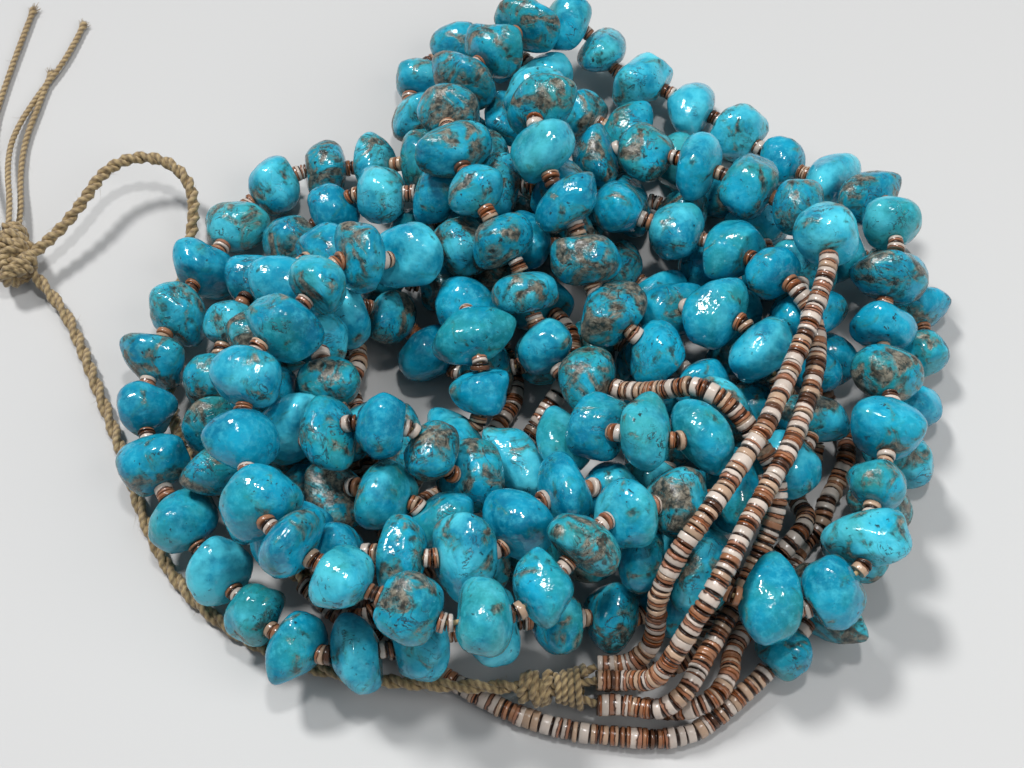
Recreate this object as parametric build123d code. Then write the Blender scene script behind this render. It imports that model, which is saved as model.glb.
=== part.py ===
from build123d import *
import math
import os

import numpy as np

# Five-strand necklace of polished turquoise nuggets with heishi shell discs, laid down in a loose heap.
# Each strand starts and ends in a plain tail of heishi. The five tails of each end are bound in a
# wrap of twine, and a cord of two twisted plies runs from each wrap to one shared knot.
# Lengths are in millimetres, Z is up and the necklace lies on the plane Z = 0.

# Nuggets, thread and the room for the heishi discs between two nuggets
STRAND_NUGGETS = (41, 41, 39, 42, 39)
NUGGET_LENGTH = 8.2
NUGGET_WIDTH = 12.6
NUGGET_HEIGHT = 10.8
BORE_DIAMETER = 1.4
THREAD_DIAMETER = 0.8
NUGGET_GAP = 2.6

# Tails of heishi discs
HEISHI_DIAMETER = 3.8
FIRST_TAIL_LENGTH = 92.0
LAST_TAIL_LENGTH = 85.0
TAIL_LINKS = 18
TAIL_START_GAP = 0.4

# Twine wraps, cords, knot and free ends
CORD_DIAMETER = 2.4
PLY_DIAMETER = 1.15
WRAP_LENGTH = 16.0
WRAP_DIAMETER = 5.2
WRAP_MOUTH_DIAMETER = 9.2
WRAP_MOUTH_LENGTH = 4.0
WRAP_TIP_LENGTH = 3.0
WRAP_TURN_HEIGHT = 0.35
KNOT_LENGTH = 15.0
KNOT_DIAMETER = 9.0
KNOT_CENTRE = (-94.0, 25.5)
KNOT_HEADING = 112.0
KNOT_TURNS = 4
KNOT_TURN_LEAN = 14.0
SEAT_GAP = 0.15

# How closely the beads may lie, and the sharpest turns of the strings in degrees
BEAD_CLEARANCE = 0.3
LEAST_CLEARANCE = 0.12
BEAD_TURN = 48.0
TAIL_TURN = 42.0

# Pebble kinds: shares of the nugget's length, width and height, and the lean of its bore in degrees
PEBBLE_KINDS = [
    (1.00, 1.00, 1.00, 0),
    (0.90, 1.10, 0.94, 7),
    (1.12, 0.92, 1.02, -6),
    (0.84, 1.04, 1.08, 4),
    (1.06, 1.14, 1.04, -9),
    (0.96, 0.84, 0.90, 10),
    (1.16, 1.02, 0.92, 5),
    (0.92, 0.94, 1.10, -4),
    (1.04, 1.20, 0.90, 8),
    (0.98, 0.90, 0.86, -8),
    (1.10, 1.06, 1.12, 3),
]

# Routes of the strands, from the mouth of the first wrap to the mouth of the second.
# Heights are those from which a string settles onto what lies under it.
STRAND_ROUTES = [
    {
        "first_tail": [(21, -51, 16), (31, -41, 26), (39, -26, 32), (45, -14, 36), (51, -2, 38),
                       (59, 12, 36)],
        "nuggets": [
            (63, 16, 30), (60, 23, 28), (51, 28, 27), (42, 31, 27), (32, 33, 27), (23, 36, 27),
            (17, 42, 26), (8, 45, 24), (-3, 43, 22), (-12, 46, 20), (-22, 49, 18), (-33, 49, 16),
            (-42, 42, 14), (-48, 33, 12), (-53, 22, 9), (-57, 9, 6), (-59, -5, 6), (-57, -18, 6),
            (-53, -30, 6), (-46, -39, 6), (-36, -46, 6), (-26, -50, 9), (-13, -52, 8), (0, -52, 6),
            (12, -50, 6), (24, -46, 6), (35, -38, 6), (43, -27, 6), (47, -14, 6), (48, -1, 6),
            (47, 12, 6), (41, 23, 6), (31, 30, 6), (18, 33, 6), (5, 34, 6), (-8, 34, 6), (-20, 33, 6),
        ],
        "last_tail": [(-28, 28, 4), (-35, 18, 4), (-37, 5, 3), (-36, -8, 3), (-32, -19, 3), (-27, -28, 3),
                      (-24, -36, 3), (-26, -42, 3)],
    },
    {
        "first_tail": [(26, -49, 24), (43, -31, 30), (50, -18, 32), (54, -8, 32), (57, 4, 32)],
        "nuggets": [
            (57, 14, 27), (51, 18, 26), (43, 21, 26), (33, 25, 26), (25, 26, 25), (16, 25, 24),
            (4, 24, 22), (-9, 28, 22), (-18, 28, 22), (-28, 29, 21), (-36, 28, 20), (-46, 24, 18),
            (-47, 13, 14), (-47, 0, 12), (-46, -13, 12), (-44, -24, 14), (-39, -34, 18), (-32, -41, 20),
            (-21, -45, 20), (-13, -46, 20), (-3, -45, 20), (6, -42, 20), (15, -40, 20), (23, -34, 20),
            (29, -27, 20), (30, -16, 16), (25, -4, 12), (17, 5, 8), (6, 12, 6), (-6, 19, 6),
            (-18, 22, 6), (-28, 16, 6), (-32, 5, 8), (-31, -6, 10), (-28, -14, 10), (-21, -21, 10),
            (-12, -21, 11), (-7, -14, 12), (-7, -6, 12), (-9, 2, 14), (-11, 10, 14), (-12, 17, 14),
        ],
        "last_tail": [(-10, 25, 8), (-3, 26, 5), (2, 17, 3), (4, 5, 3), (4, -8, 3), (1, -20, 3),
                      (-8, -32, 3), (-17, -42, 6), (-25, -47, 8)],
    },
    {
        "first_tail": [(25, -56, 6), (34, -52, 10), (40, -43, 14), (44, -37, 16), (46, -31, 20),
                       (42, -25, 24), (36, -24, 30), (18, -13, 32)],
        "nuggets": [
            (13, -14, 28), (5, -8, 28), (1, -2, 29), (-3, 7, 30), (-6, 18, 32), (-9, 30, 34),
            (-11, 43, 34), (-10, 53, 26), (-4, 61, 18), (3, 67, 12), (11, 68, 12), (17, 63, 14),
            (22, 58, 14), (28, 62, 12), (35, 61, 11), (42, 56, 11), (48, 51, 11), (54, 43, 12),
            (58, 31, 14), (60, 18, 16), (61, 4, 18), (62, -9, 18), (64, -20, 18), (62, -31, 18),
            (56, -42, 18), (48, -49, 18), (40, -53, 18), (28, -49, 12), (15, -46, 8), (2, -45, 6),
            (-11, -45, 6), (-22, -45, 8), (-33, -42, 12), (-39, -32, 18), (-42, -19, 20), (-42, -6, 16),
            (-40, 6, 12),
        ],
        "last_tail": [(-39, 17, 6), (-33, 18, 4), (-34, 8, 4), (-38, -4, 3), (-33, -16, 3), (-26, -24, 3),
                      (-21, -32, 5), (-21, -40, 7), (-26, -44, 7)],
    },
    {
        "first_tail": [(23, -59, 4), (33, -55, 4), (41, -51, 3), (50, -44, 3), (55, -34, 3), (57, -22, 3),
                       (57, -12, 4)],
        "nuggets": [
            (56, -3, 6), (56, 9, 6), (53, 20, 6), (46, 30, 6), (36, 39, 6), (26, 48, 6), (17, 56, 6),
            (8, 60, 6), (-3, 62, 6), (-14, 61, 6), (-23, 57, 6), (-23, 49, 8), (-14, 49, 10),
            (-3, 50, 14), (4, 45, 24), (4, 37, 30), (4, 28, 32), (7, 18, 32), (13, 8, 30), (17, -1, 29),
            (24, -8, 28), (32, -14, 27), (38, -24, 24), (36, -33, 20), (27, -34, 22), (18, -28, 26),
            (9, -33, 28), (0, -37, 28), (-10, -37, 28), (-20, -36, 28), (-30, -31, 28), (-37, -25, 28),
            (-41, -15, 27), (-41, -3, 20), (-38, 9, 16), (-31, 18, 14), (-21, 22, 14), (-10, 23, 12),
            (1, 20, 12), (9, 13, 12),
        ],
        "last_tail": [(12, 3, 6), (10, -9, 4), (5, -19, 3), (-4, -31, 3), (-12, -42, 3), (-20, -49, 5)],
    },
    {
        "first_tail": [(24, -57, 3), (36, -50, 3), (46, -41, 3), (52, -30, 3), (54, -19, 4), (51, -11, 8)],
        "nuggets": [
            (46, -9, 14), (41, -5, 22), (34, 2, 26), (29, 11, 26), (23, 20, 26), (17, 27, 25),
            (7, 30, 22), (-3, 25, 18), (-11, 15, 22), (-18, 13, 26), (-27, 10, 28), (-34, 5, 28),
            (-40, 0, 28), (-44, -9, 28), (-46, -19, 28), (-45, -30, 27), (-41, -40, 25), (-36, -47, 22),
            (-27, -51, 20), (-17, -53, 19), (-8, -54, 18), (2, -54, 18), (11, -52, 18), (19, -48, 17),
            (29, -43, 14), (38, -36, 12), (45, -26, 12), (51, -14, 12), (54, -1, 12), (55, 12, 12),
            (55, 24, 12), (58, 34, 12), (64, 30, 8), (67, 19, 6), (68, 6, 6), (68, -7, 6), (67, -20, 6),
            (63, -32, 8), (58, -43, 10), (50, -53, 10),
        ],
        "last_tail": [(44, -57, 3), (32, -62, 3), (16, -65, 3), (1, -65, 3), (-12, -60, 3), (-22, -54, 2.5),
                      (-28, -47, 2.5)],
    },
]

# Seat of each strand in the ring of tails at the mouth of a wrap, counted from the top
FIRST_SEATS = (4, 0, 1, 2, 3)
LAST_SEATS = (3, 0, 4, 1, 2)

# Routes of the cords, from inside the knot to the mouth of a wrap, which takes the end of the last run
CORD_1_ROUTE = [(-91, 23, 4), (-84, 16, 1.4), (-79, 6, 1.3), (-74, -5, 1.2), (-69, -16, 1.3),
                (-64, -29, 1.2), (-57, -41, 1.3), (-46, -50, 1.2), (-34, -55.6, 1.7), (-22, -58.8, 4.4),
                (-9, -60.3, 5.8), (13.8, -60.5, 5.8)]
CORD_2_ROUTE = [(-91, 24, 5.5), (-86, 29, 6), (-81.5, 35.5, 7.5), (-78, 42.5, 8.5), (-72.2, 45.5, 9),
                (-65.8, 44.5, 8.6), (-61.2, 39.9, 7.4), (-60.4, 33, 5.6), (-61.6, 24, 3.4), (-63, 13, 1.8),
                (-63, 2, 1.3), (-61, -9, 2.4), (-56, -20, 5.2), (-33, -40, 5.6)]

# Routes of the free ends of the plies, from inside the knot to their tips
FREE_END_ROUTES = [
    [(-95.2, 30, 6.2), (-96, 37, 5.4), (-98.5, 46, 3.4), (-99.5, 56, 1.4), (-96, 67, 0.8),
     (-91, 77, 0.9), (-89, 86, 0.7)],
    [(-94.2, 30, 3.4), (-94.6, 37, 2.6), (-96.5, 46, 1.2), (-97, 55, 0.8), (-95.5, 64, 0.9),
     (-94, 73, 0.7)],
    [(-97.4, 30, 6.4), (-99.4, 37, 5), (-102.5, 47, 2.8), (-104, 58, 1), (-103, 69, 0.8),
     (-101.5, 80, 0.9), (-100, 90, 0.7)],
    [(-97.6, 29, 3.4), (-100.6, 36, 2.2), (-105, 44, 1), (-108.5, 53, 0.8), (-111, 62, 0.9),
     (-110, 71, 0.7)],
]

# Laying down: rounds of sinking and of clearing, and how fast a string sinks and follows its route
SINKING_ROUNDS = 900
CLEARING_ROUNDS = 400
MOST_CLEARING_ROUNDS = 1600
ROUNDS_PER_LOOK = 15
SINK_STEP = 0.09
FOLLOW_SHARE = 0.02
KEEP_SHARE = 0.002
TAIL_FOLLOW = 3.0
TAIL_LIGHTNESS = 3.0
LOOK_REACH = 2.0
SHORT_PIECE = 5.0
SOFT_EDGE = 0.6
FOLLOW_POINTS = 7
PUSH_ROUNDS = 2
LOOK_ROUNDS = 12
PUSH_SHARE = 0.6
TURN_SHARE = 0.8
FACE_STEP = 0.9

# Links between two bodies of one string, from which on they may meet: nuggets, tails, and one of each
BEAD_LINKS_APART = 0.5
TAIL_LINKS_APART = 2.2
LINKS_APART = 1.2

# Tubes: share of the shorter run that an arc takes, and turns too small for an arc, in degrees
ARC_SHARE = 0.45
LEAST_TURN = 1.0


def unit(vector):
    """The vector at length one, or each row of an array at length one."""
    return vector / np.linalg.norm(vector, axis=-1, keepdims=True)


def rows_dot(first, second):
    """Row by row products of two arrays of vectors."""
    return np.einsum("pa,pa->p", first, second)


def route_length(route):
    """Length of a route of straight runs."""
    return float(np.linalg.norm(np.diff(np.asarray(route, float), axis=0), axis=1).sum())


def along(route, shares):
    """Points at the given shares of the length of a route."""
    route = np.asarray(route, float)
    travelled = np.concatenate([[0.0], np.cumsum(np.linalg.norm(np.diff(route, axis=0), axis=1))])
    distances = np.asarray(shares) * travelled[-1]
    return np.stack([np.interp(distances, travelled, route[:, axis]) for axis in range(3)], axis=1)


def wrap_axis(cord_route):
    """Mouth and direction of the wrap at the end of a cord."""
    before, mouth = np.array(cord_route[-2], float), np.array(cord_route[-1], float)
    return mouth, unit(mouth - before)


def mouth_seats(cord_route):
    """Centres of the tails in a ring at the mouth of a wrap, the first one on top."""
    mouth, heading = wrap_axis(cord_route)
    side = unit(np.cross([0.0, 0.0, 1.0], heading))
    rise = np.cross(heading, side)
    step = 2 * math.pi / len(STRAND_ROUTES)
    ring = (HEISHI_DIAMETER + 2 * SEAT_GAP) / (2 * math.sin(step / 2))
    turns = [step * seat + math.pi / 2 for seat in range(len(STRAND_ROUTES))]
    return [mouth + ring * (math.cos(turn) * side + math.sin(turn) * rise) for turn in turns]


def pebble_size(kind):
    """Half length, half width and half height of one kind of nugget, and the lean of its bore."""
    length, width, height, lean = PEBBLE_KINDS[kind]
    halves = np.array([length * NUGGET_LENGTH, width * NUGGET_WIDTH, height * NUGGET_HEIGHT]) / 2
    return halves, math.radians(lean)


def bore_length(kind):
    """Length of the bore through the middle of a nugget of one kind."""
    halves, lean = pebble_size(kind)
    return 2 / math.hypot(math.cos(lean) / halves[0], math.sin(lean) / halves[1])


class Strings:
    """The strings as chains of points, with the round bodies that ride on their links."""

    def __init__(self):
        self.chance = np.random.default_rng(7)
        self.kinds, self.lengths, self.spins, self.counts, self.starts = [], [], [], [], []
        chains, free = [], []
        for number, route in enumerate(STRAND_ROUTES):
            chain = self.lay_chain(number, route)
            self.starts.append(sum(len(other) for other in chains))
            chains.append(chain)
            loose = np.ones(len(chain))
            loose[[0, 1, -2, -1]] = 0
            free.append(loose)
        self.points = np.concatenate(chains)
        self.guides = self.points.copy()
        self.free = np.concatenate(free)
        self.kinds = np.array(self.kinds)
        self.lengths = np.array(self.lengths)
        self.spins = np.array(self.spins)
        self.starts = np.array(self.starts)
        self.counts = np.array(self.counts)
        self.place = np.concatenate([np.arange(count) for count in self.counts])
        self.links = np.concatenate([start + np.arange(count)
                                     for start, count in zip(self.starts, self.counts)])
        self.add_bodies()

    def lay_chain(self, number, route):
        """Points of one string along its route: a tail, the nuggets and another tail."""
        kinds = [(number * 5 + k * 4 + int(self.chance.integers(0, 3))) % len(PEBBLE_KINDS)
                 for k in range(STRAND_NUGGETS[number])]
        bead_links = [bore_length(kind) + NUGGET_GAP for kind in kinds]
        first_link, last_link = FIRST_TAIL_LENGTH / TAIL_LINKS, LAST_TAIL_LENGTH / TAIL_LINKS
        first = mouth_seats(CORD_1_ROUTE)[FIRST_SEATS[number]]
        last = mouth_seats(CORD_2_ROUTE)[LAST_SEATS[number]]
        first_out = first + first_link * wrap_axis(CORD_1_ROUTE)[1]
        last_out = last + last_link * wrap_axis(CORD_2_ROUTE)[1]
        tail_shares = np.linspace(0, 1, TAIL_LINKS + 1)
        bead_shares = np.concatenate([[0], np.cumsum(bead_links)]) / sum(bead_links)
        chain = np.concatenate([
            along([first, first_out] + route["first_tail"] + [route["nuggets"][0]], tail_shares)[:-1],
            along(route["nuggets"], bead_shares),
            along([route["nuggets"][-1]] + route["last_tail"] + [last_out, last], tail_shares)[1:]])
        chain[1], chain[-2] = first_out, last_out
        self.kinds += [-1] * TAIL_LINKS + kinds + [-1] * TAIL_LINKS
        self.lengths += [first_link] * TAIL_LINKS + bead_links + [last_link] * TAIL_LINKS
        self.spins += list(self.chance.uniform(-1.0, 1.0, len(chain) - 1))
        self.counts.append(len(chain) - 1)
        return chain

    def add_bodies(self):
        """Nuggets, links of the tails, discs between nuggets, and the short pieces of wraps and cords."""
        self.beads = np.where(self.kinds >= 0)[0]
        self.tails = np.where(self.kinds < 0)[0]
        joints = self.links[self.beads[self.kinds[self.beads - 1] >= 0]]
        self.heads = np.concatenate([self.links[self.beads], self.links[self.tails], joints])
        self.feet = np.concatenate([self.links[self.beads] + 1, self.links[self.tails] + 1, joints])
        self.string = np.searchsorted(self.starts, self.heads, side="right") - 1
        sizes = [pebble_size(kind) for kind in self.kinds[self.beads]]
        self.halves = np.array([halves for halves, _ in sizes])
        self.leans = np.array([lean for _, lean in sizes])[:, None]
        self.sort = np.repeat([0, 1, 2], [len(self.beads), len(self.tails), len(joints)])
        self.still = []
        for cord in (CORD_1_ROUTE, CORD_2_ROUTE):
            mouth, heading = wrap_axis(cord)
            neck = mouth - WRAP_MOUTH_LENGTH * heading
            start = mouth - (WRAP_LENGTH - WRAP_DIAMETER / 2) * heading
            flare = mouth - WRAP_MOUTH_DIAMETER / 2 * heading
            for route, diameter in ((cord[2:-1] + [start], CORD_DIAMETER), ([start, neck], WRAP_DIAMETER),
                                    ([flare, neck], WRAP_MOUTH_DIAMETER)):
                shares = np.linspace(0, 1, math.ceil(route_length(route) / SHORT_PIECE) + 1)
                points = along(route, shares)
                self.still += [(a, b, diameter / 2) for a, b in zip(points, points[1:])]
        self.still_middles = np.array([(a + b) / 2 for a, b, _ in self.still])
        self.still_runs = np.array([(b - a) / 2 for a, b, _ in self.still])
        self.radii = np.array([HEISHI_DIAMETER / 2] * (len(self.tails) + len(joints))
                              + [radius for _, _, radius in self.still])
        self.reach = np.concatenate([self.halves.max(axis=1), self.radii])
        self.reach[self.sort.searchsorted(1):self.sort.searchsorted(2)] += self.lengths[self.tails] / 2
        self.reach[len(self.heads):] += np.linalg.norm(self.still_runs, axis=1)

    def bead_frames(self):
        """Axis, side and rise of each nugget, turned by its own spin about the thread."""
        axis = unit(self.points[self.links[self.beads] + 1] - self.points[self.links[self.beads]])
        side = unit(np.cross([0.0, 0.0, 1.0], axis) + 1e-6)
        rise = np.cross(axis, side)
        spin = self.spins[self.beads][:, None]
        return axis, np.cos(spin) * side + np.sin(spin) * rise, np.cos(spin) * rise - np.sin(spin) * side

    def bodies(self):
        """Centres, shape matrices and half runs of all the bodies."""
        axis, side, rise = self.bead_frames()
        long = np.cos(self.leans) * axis + np.sin(self.leans) * side
        wide = np.cos(self.leans) * side - np.sin(self.leans) * axis
        turned = np.stack([long, wide, rise], axis=2) * self.halves[:, None, :]
        shapes = [turned @ turned.transpose(0, 2, 1), np.eye(3) * (self.radii ** 2)[:, None, None]]
        middles = (self.points[self.heads] + self.points[self.feet]) / 2
        runs = (self.points[self.feet] - self.points[self.heads]) / 2
        runs[:len(self.beads)] = 0
        return (np.concatenate([middles, self.still_middles]), np.concatenate(shapes),
                np.concatenate([runs, self.still_runs]))

    def near_pairs(self):
        """Pairs of bodies that could meet soon, without neighbours on one string."""
        centres = self.bodies()[0]
        distance = np.linalg.norm(centres[:, None] - centres[None], axis=2)
        one, two = np.where(np.triu(distance < self.reach[:, None] + self.reach[None] + LOOK_REACH, 1))
        moving = len(self.heads)
        one, two = one[one < moving], two[one < moving]
        both = two < moving
        other = np.where(both, two, 0)
        middle = (self.heads + self.feet) / 2
        apart = np.abs(middle[one] - middle[other])
        tails = (self.sort[one] == 1) & (self.sort[other] == 1)
        beads = (self.sort[one] == 0) & (self.sort[other] == 0)
        least = np.where(tails, TAIL_LINKS_APART, np.where(beads, BEAD_LINKS_APART, LINKS_APART))
        neighbours = both & (self.string[one] == self.string[other]) & (apart < least)
        travelled = middle - self.starts[self.string]
        from_mouth = np.minimum(travelled, self.counts[self.string] - travelled)
        seated = ~both & (from_mouth[one] < 1)
        keep = ~neighbours & ~seated
        return one[keep], two[keep]


def face_off(strings, pairs, normals, rounds):
    """Clearance of each pair along its best normal, the faces that meet there and the next normals."""
    centres, shapes, runs = strings.bodies()
    between = centres[pairs[1]] - centres[pairs[0]]
    bend = sum(rows_dot(runs[body], runs[body]) for body in pairs) / SOFT_EDGE
    step = FACE_STEP / (np.linalg.norm(between, axis=1) + bend)[:, None]
    for _ in range(rounds):
        used, faces, clear = normals, [], rows_dot(between, normals)
        for body in pairs:
            pull = np.einsum("pab,pb->pa", shapes[body], used)
            size = np.sqrt(rows_dot(pull, used))
            lean = rows_dot(runs[body], used)
            faces.append(pull / size[:, None] + np.tanh(lean / SOFT_EDGE)[:, None] * runs[body])
            clear = clear - size - np.abs(lean)
        slope = between - faces[0] - faces[1]
        slope -= rows_dot(slope, used)[:, None] * used
        normals = unit(used + step * slope)
    return clear, used, faces, normals


def push_apart(strings, pairs, normals, ease):
    """Move the links of bodies that lie closer than the clearance; gives the next normals."""
    clear, used, faces, normals = face_off(strings, pairs, normals, PUSH_ROUNDS)
    hit = np.where(clear < BEAD_CLEARANCE)[0]
    load, holds = np.zeros(len(hit)), []
    for side, sign in ((0, -1.0), (1, 1.0)):
        body = pairs[side][hit]
        moves = body < len(strings.heads)
        head = strings.heads[np.where(moves, body, 0)]
        foot = strings.feet[np.where(moves, body, 0)]
        single = head == foot
        run = strings.points[foot] - strings.points[head]
        lever = np.clip(rows_dot(faces[side][hit], run) / np.maximum(rows_dot(run, run), 1e-9), -0.5, 0.5)
        lever = np.where(single, 0.0, lever)
        for point, share in ((head, (0.5 - lever) * moves), (foot, (0.5 + lever) * moves)):
            load += share * share * ease[point] * np.where(single, 2, 1)
            holds.append((point, sign * share))
    amount = PUSH_SHARE * (BEAD_CLEARANCE - clear[hit]) * (load > 1e-6) / np.maximum(load, 1e-6)
    shift, count = np.zeros_like(strings.points), np.zeros(len(strings.points))
    for point, share in holds:
        np.add.at(shift, point, (amount * share * ease[point])[:, None] * used[hit])
        np.add.at(count, point, np.abs(share) > 1e-3)
    strings.points += shift / np.sqrt(np.maximum(count, 1))[:, None]
    return normals


def keep_distances(points, ease, first, second, wanted, at_least, share):
    """Bring two points of each pair to the wanted distance, or no nearer than it."""
    gap = points[second] - points[first]
    size = np.linalg.norm(gap, axis=1)
    error = np.minimum(size - wanted, 0) if at_least else size - wanted
    fix = (share * error / size / np.maximum(ease[first] + ease[second], 1e-9))[:, None] * gap
    points[first] += fix * ease[first][:, None]
    points[second] -= fix * ease[second][:, None]


def keep_links(strings, ease):
    """Give each link its own length again, every other link at a time."""
    for parity in (0, 1):
        chosen = strings.place % 2 == parity
        first = strings.links[chosen]
        keep_distances(strings.points, ease, first, first + 1, strings.lengths[chosen], False, 1.0)


def keep_turns(strings, ease, inner, spans):
    """Open each turn that is sharper than its limit, every third point at a time."""
    for third in range(3):
        chosen = strings.place[inner] % 3 == third
        middle = strings.links[inner[chosen]]
        keep_distances(strings.points, ease, middle - 1, middle + 1, spans[chosen], True, TURN_SHARE)


def lift_from_surface(strings):
    """Raise what reaches below the plane Z = 0."""
    centres, shapes, runs = strings.bodies()
    moving = len(strings.heads)
    sunk = np.sqrt(shapes[:moving, 2, 2]) + np.abs(runs[:moving, 2]) - centres[:moving, 2]
    for ends in (strings.heads, strings.feet):
        rise = np.zeros(len(strings.points))
        np.maximum.at(rise, ends, np.maximum(sunk, 0))
        strings.points[:, 2] += rise * strings.free


def find_pairs(strings, pairs, normals):
    """New near pairs, with the normals kept of those that were known."""
    known = {} if pairs is None else dict(zip(zip(*[side.tolist() for side in pairs]), normals))
    pairs = strings.near_pairs()
    centres = strings.bodies()[0]
    straight = unit(centres[pairs[1]] - centres[pairs[0]])
    names = zip(*[side.tolist() for side in pairs])
    return pairs, np.array([known.get(name, straight[k]) for k, name in enumerate(names)])


def settle():
    """Lay the strings down: they sink onto the surface and onto each other, and keep apart."""
    strings = Strings()
    points, free = strings.points, strings.free
    tail_point = np.zeros(len(points))
    tail_point[strings.links[strings.tails]] = 1
    tail_point[strings.links[strings.tails] + 1] = 1
    ease = free * np.where(tail_point > 0, TAIL_LIGHTNESS, 1.0)
    follow = np.where(np.convolve(tail_point, np.ones(FOLLOW_POINTS), "same") > 0, TAIL_FOLLOW, 1.0) * free
    inner = np.where(strings.place > 0)[0]
    here, before = strings.lengths[inner], strings.lengths[inner - 1]
    beside_bead = (strings.kinds[inner] >= 0) | (strings.kinds[inner - 1] >= 0)
    turns = np.radians(np.where(beside_bead, BEAD_TURN, TAIL_TURN))
    spans = np.sqrt(here ** 2 + before ** 2 + 2 * here * before * np.cos(turns))
    pairs, normals = None, None
    for number in range(SINKING_ROUNDS + MOST_CLEARING_ROUNDS):
        if number % ROUNDS_PER_LOOK == 0:
            pairs, normals = find_pairs(strings, pairs, normals)
        share = number / SINKING_ROUNDS
        if share < 1:
            points[:, 2] -= free * SINK_STEP * (1 - share / 2)
            points[:, :2] += (follow * (FOLLOW_SHARE * (1 - share) + KEEP_SHARE))[:, None] \
                * (strings.guides - points)[:, :2]
        elif number > SINKING_ROUNDS + CLEARING_ROUNDS and number % ROUNDS_PER_LOOK == 0:
            if face_off(strings, pairs, normals, LOOK_ROUNDS)[0].min() > LEAST_CLEARANCE:
                break
        for _ in range(2):
            normals = push_apart(strings, pairs, normals, ease)
            keep_links(strings, ease)
            keep_turns(strings, ease, inner, spans)
            lift_from_surface(strings)
    return strings


def vector(point):
    return Vector(*[float(value) for value in point])


def rounded_wire(corners, cuts):
    """Straight runs joined by tangent arcs; each cut is the length of run that a corner takes."""
    edges, radii, start = [], [], corners[0]
    for before, corner, after, cut in zip(corners, corners[1:], corners[2:], cuts):
        into, out = unit(corner - before), unit(after - corner)
        turn = math.acos(float(into @ out))
        arc_start, arc_end = corner - cut * into, corner + cut * out
        radius = cut / math.tan(turn / 2)
        middle = corner + unit(out - into) * radius * (1 / math.cos(turn / 2) - 1)
        edges.append(Edge.make_line(vector(start), vector(arc_start)))
        edges.append(Edge.make_three_point_arc(vector(arc_start), vector(middle), vector(arc_end)))
        radii.append(round(float(radius), 1))
        start = arc_end
    edges.append(Edge.make_line(vector(start), vector(corners[-1])))
    return Wire(edges), radii


def drop_straight_points(points):
    """The route without the points where it hardly turns."""
    points = [np.asarray(point, float) for point in points]
    kept = points[:1]
    for corner, after in zip(points[1:], points[2:]):
        into, out = unit(corner - kept[-1]), unit(after - corner)
        if float(into @ out) < math.cos(math.radians(LEAST_TURN)):
            kept.append(corner)
    return kept + points[-1:]


def tube(points, diameter, cuts=None):
    """A round tube along a route, with arcs as large as the runs allow unless the cuts are given."""
    points = drop_straight_points(points)
    runs = [np.linalg.norm(b - a) for a, b in zip(points, points[1:])]
    if cuts is None:
        cuts = [ARC_SHARE * min(pair) for pair in zip(runs, runs[1:])]
    else:
        cuts = [cuts] * (len(points) - 2)
    wire, radii = rounded_wire(points, cuts)
    start = Plane(origin=vector(points[0]), z_dir=vector(points[1] - points[0]))
    solid = Solid.sweep(Face(start * Wire.make_circle(diameter / 2)), wire)
    return solid, radii, solid.volume / (math.pi * diameter ** 2 / 4 * wire.length)


def drilled_pebble(kind):
    """A smooth leaning nugget about the origin, drilled along X."""
    halves, lean = pebble_size(kind)
    ball = Rot(0, 0, 90) * Sphere(1.0)
    stone = Rot(0, 0, math.degrees(lean)) * scale(ball, by=tuple(float(half) for half in halves))
    bore = Rot(0, 90, 0) * Cylinder(BORE_DIAMETER / 2, 2 * bore_length(kind))
    return (stone - bore).solid()


def nuggets_of(strings, number, pebbles):
    """All the nuggets of one strand at their places."""
    axis, _, rise = strings.bead_frames()
    centres = strings.bodies()[0]
    placed = []
    for bead in np.where(strings.string[:len(strings.beads)] == number)[0]:
        place = Plane(origin=vector(centres[bead]), x_dir=vector(axis[bead]), z_dir=vector(rise[bead]))
        placed.append(pebbles[strings.kinds[strings.beads[bead]]].moved(place.location))
    return Compound(placed)


def string_points(strings, number):
    """Points of one string: first tail, nuggets and last tail."""
    start, count = strings.starts[number], strings.counts[number]
    points = strings.points[start:start + count + 1]
    return points[:TAIL_LINKS + 1], points[TAIL_LINKS:-TAIL_LINKS], points[-TAIL_LINKS - 1:]


def wrap_outline(turns):
    """Radii of the wrap at the ends of its turns, from the cord to the mouth."""
    tip = CORD_DIAMETER / 2 + WRAP_TURN_HEIGHT
    neck = WRAP_DIAMETER / 2 - WRAP_TURN_HEIGHT
    lip = WRAP_MOUTH_DIAMETER / 2 - WRAP_TURN_HEIGHT
    places = [0.0, WRAP_TIP_LENGTH, WRAP_LENGTH - WRAP_MOUTH_LENGTH, WRAP_LENGTH]
    return np.interp(np.linspace(0, WRAP_LENGTH, turns + 1), places, [tip, neck, neck, lip])


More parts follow.
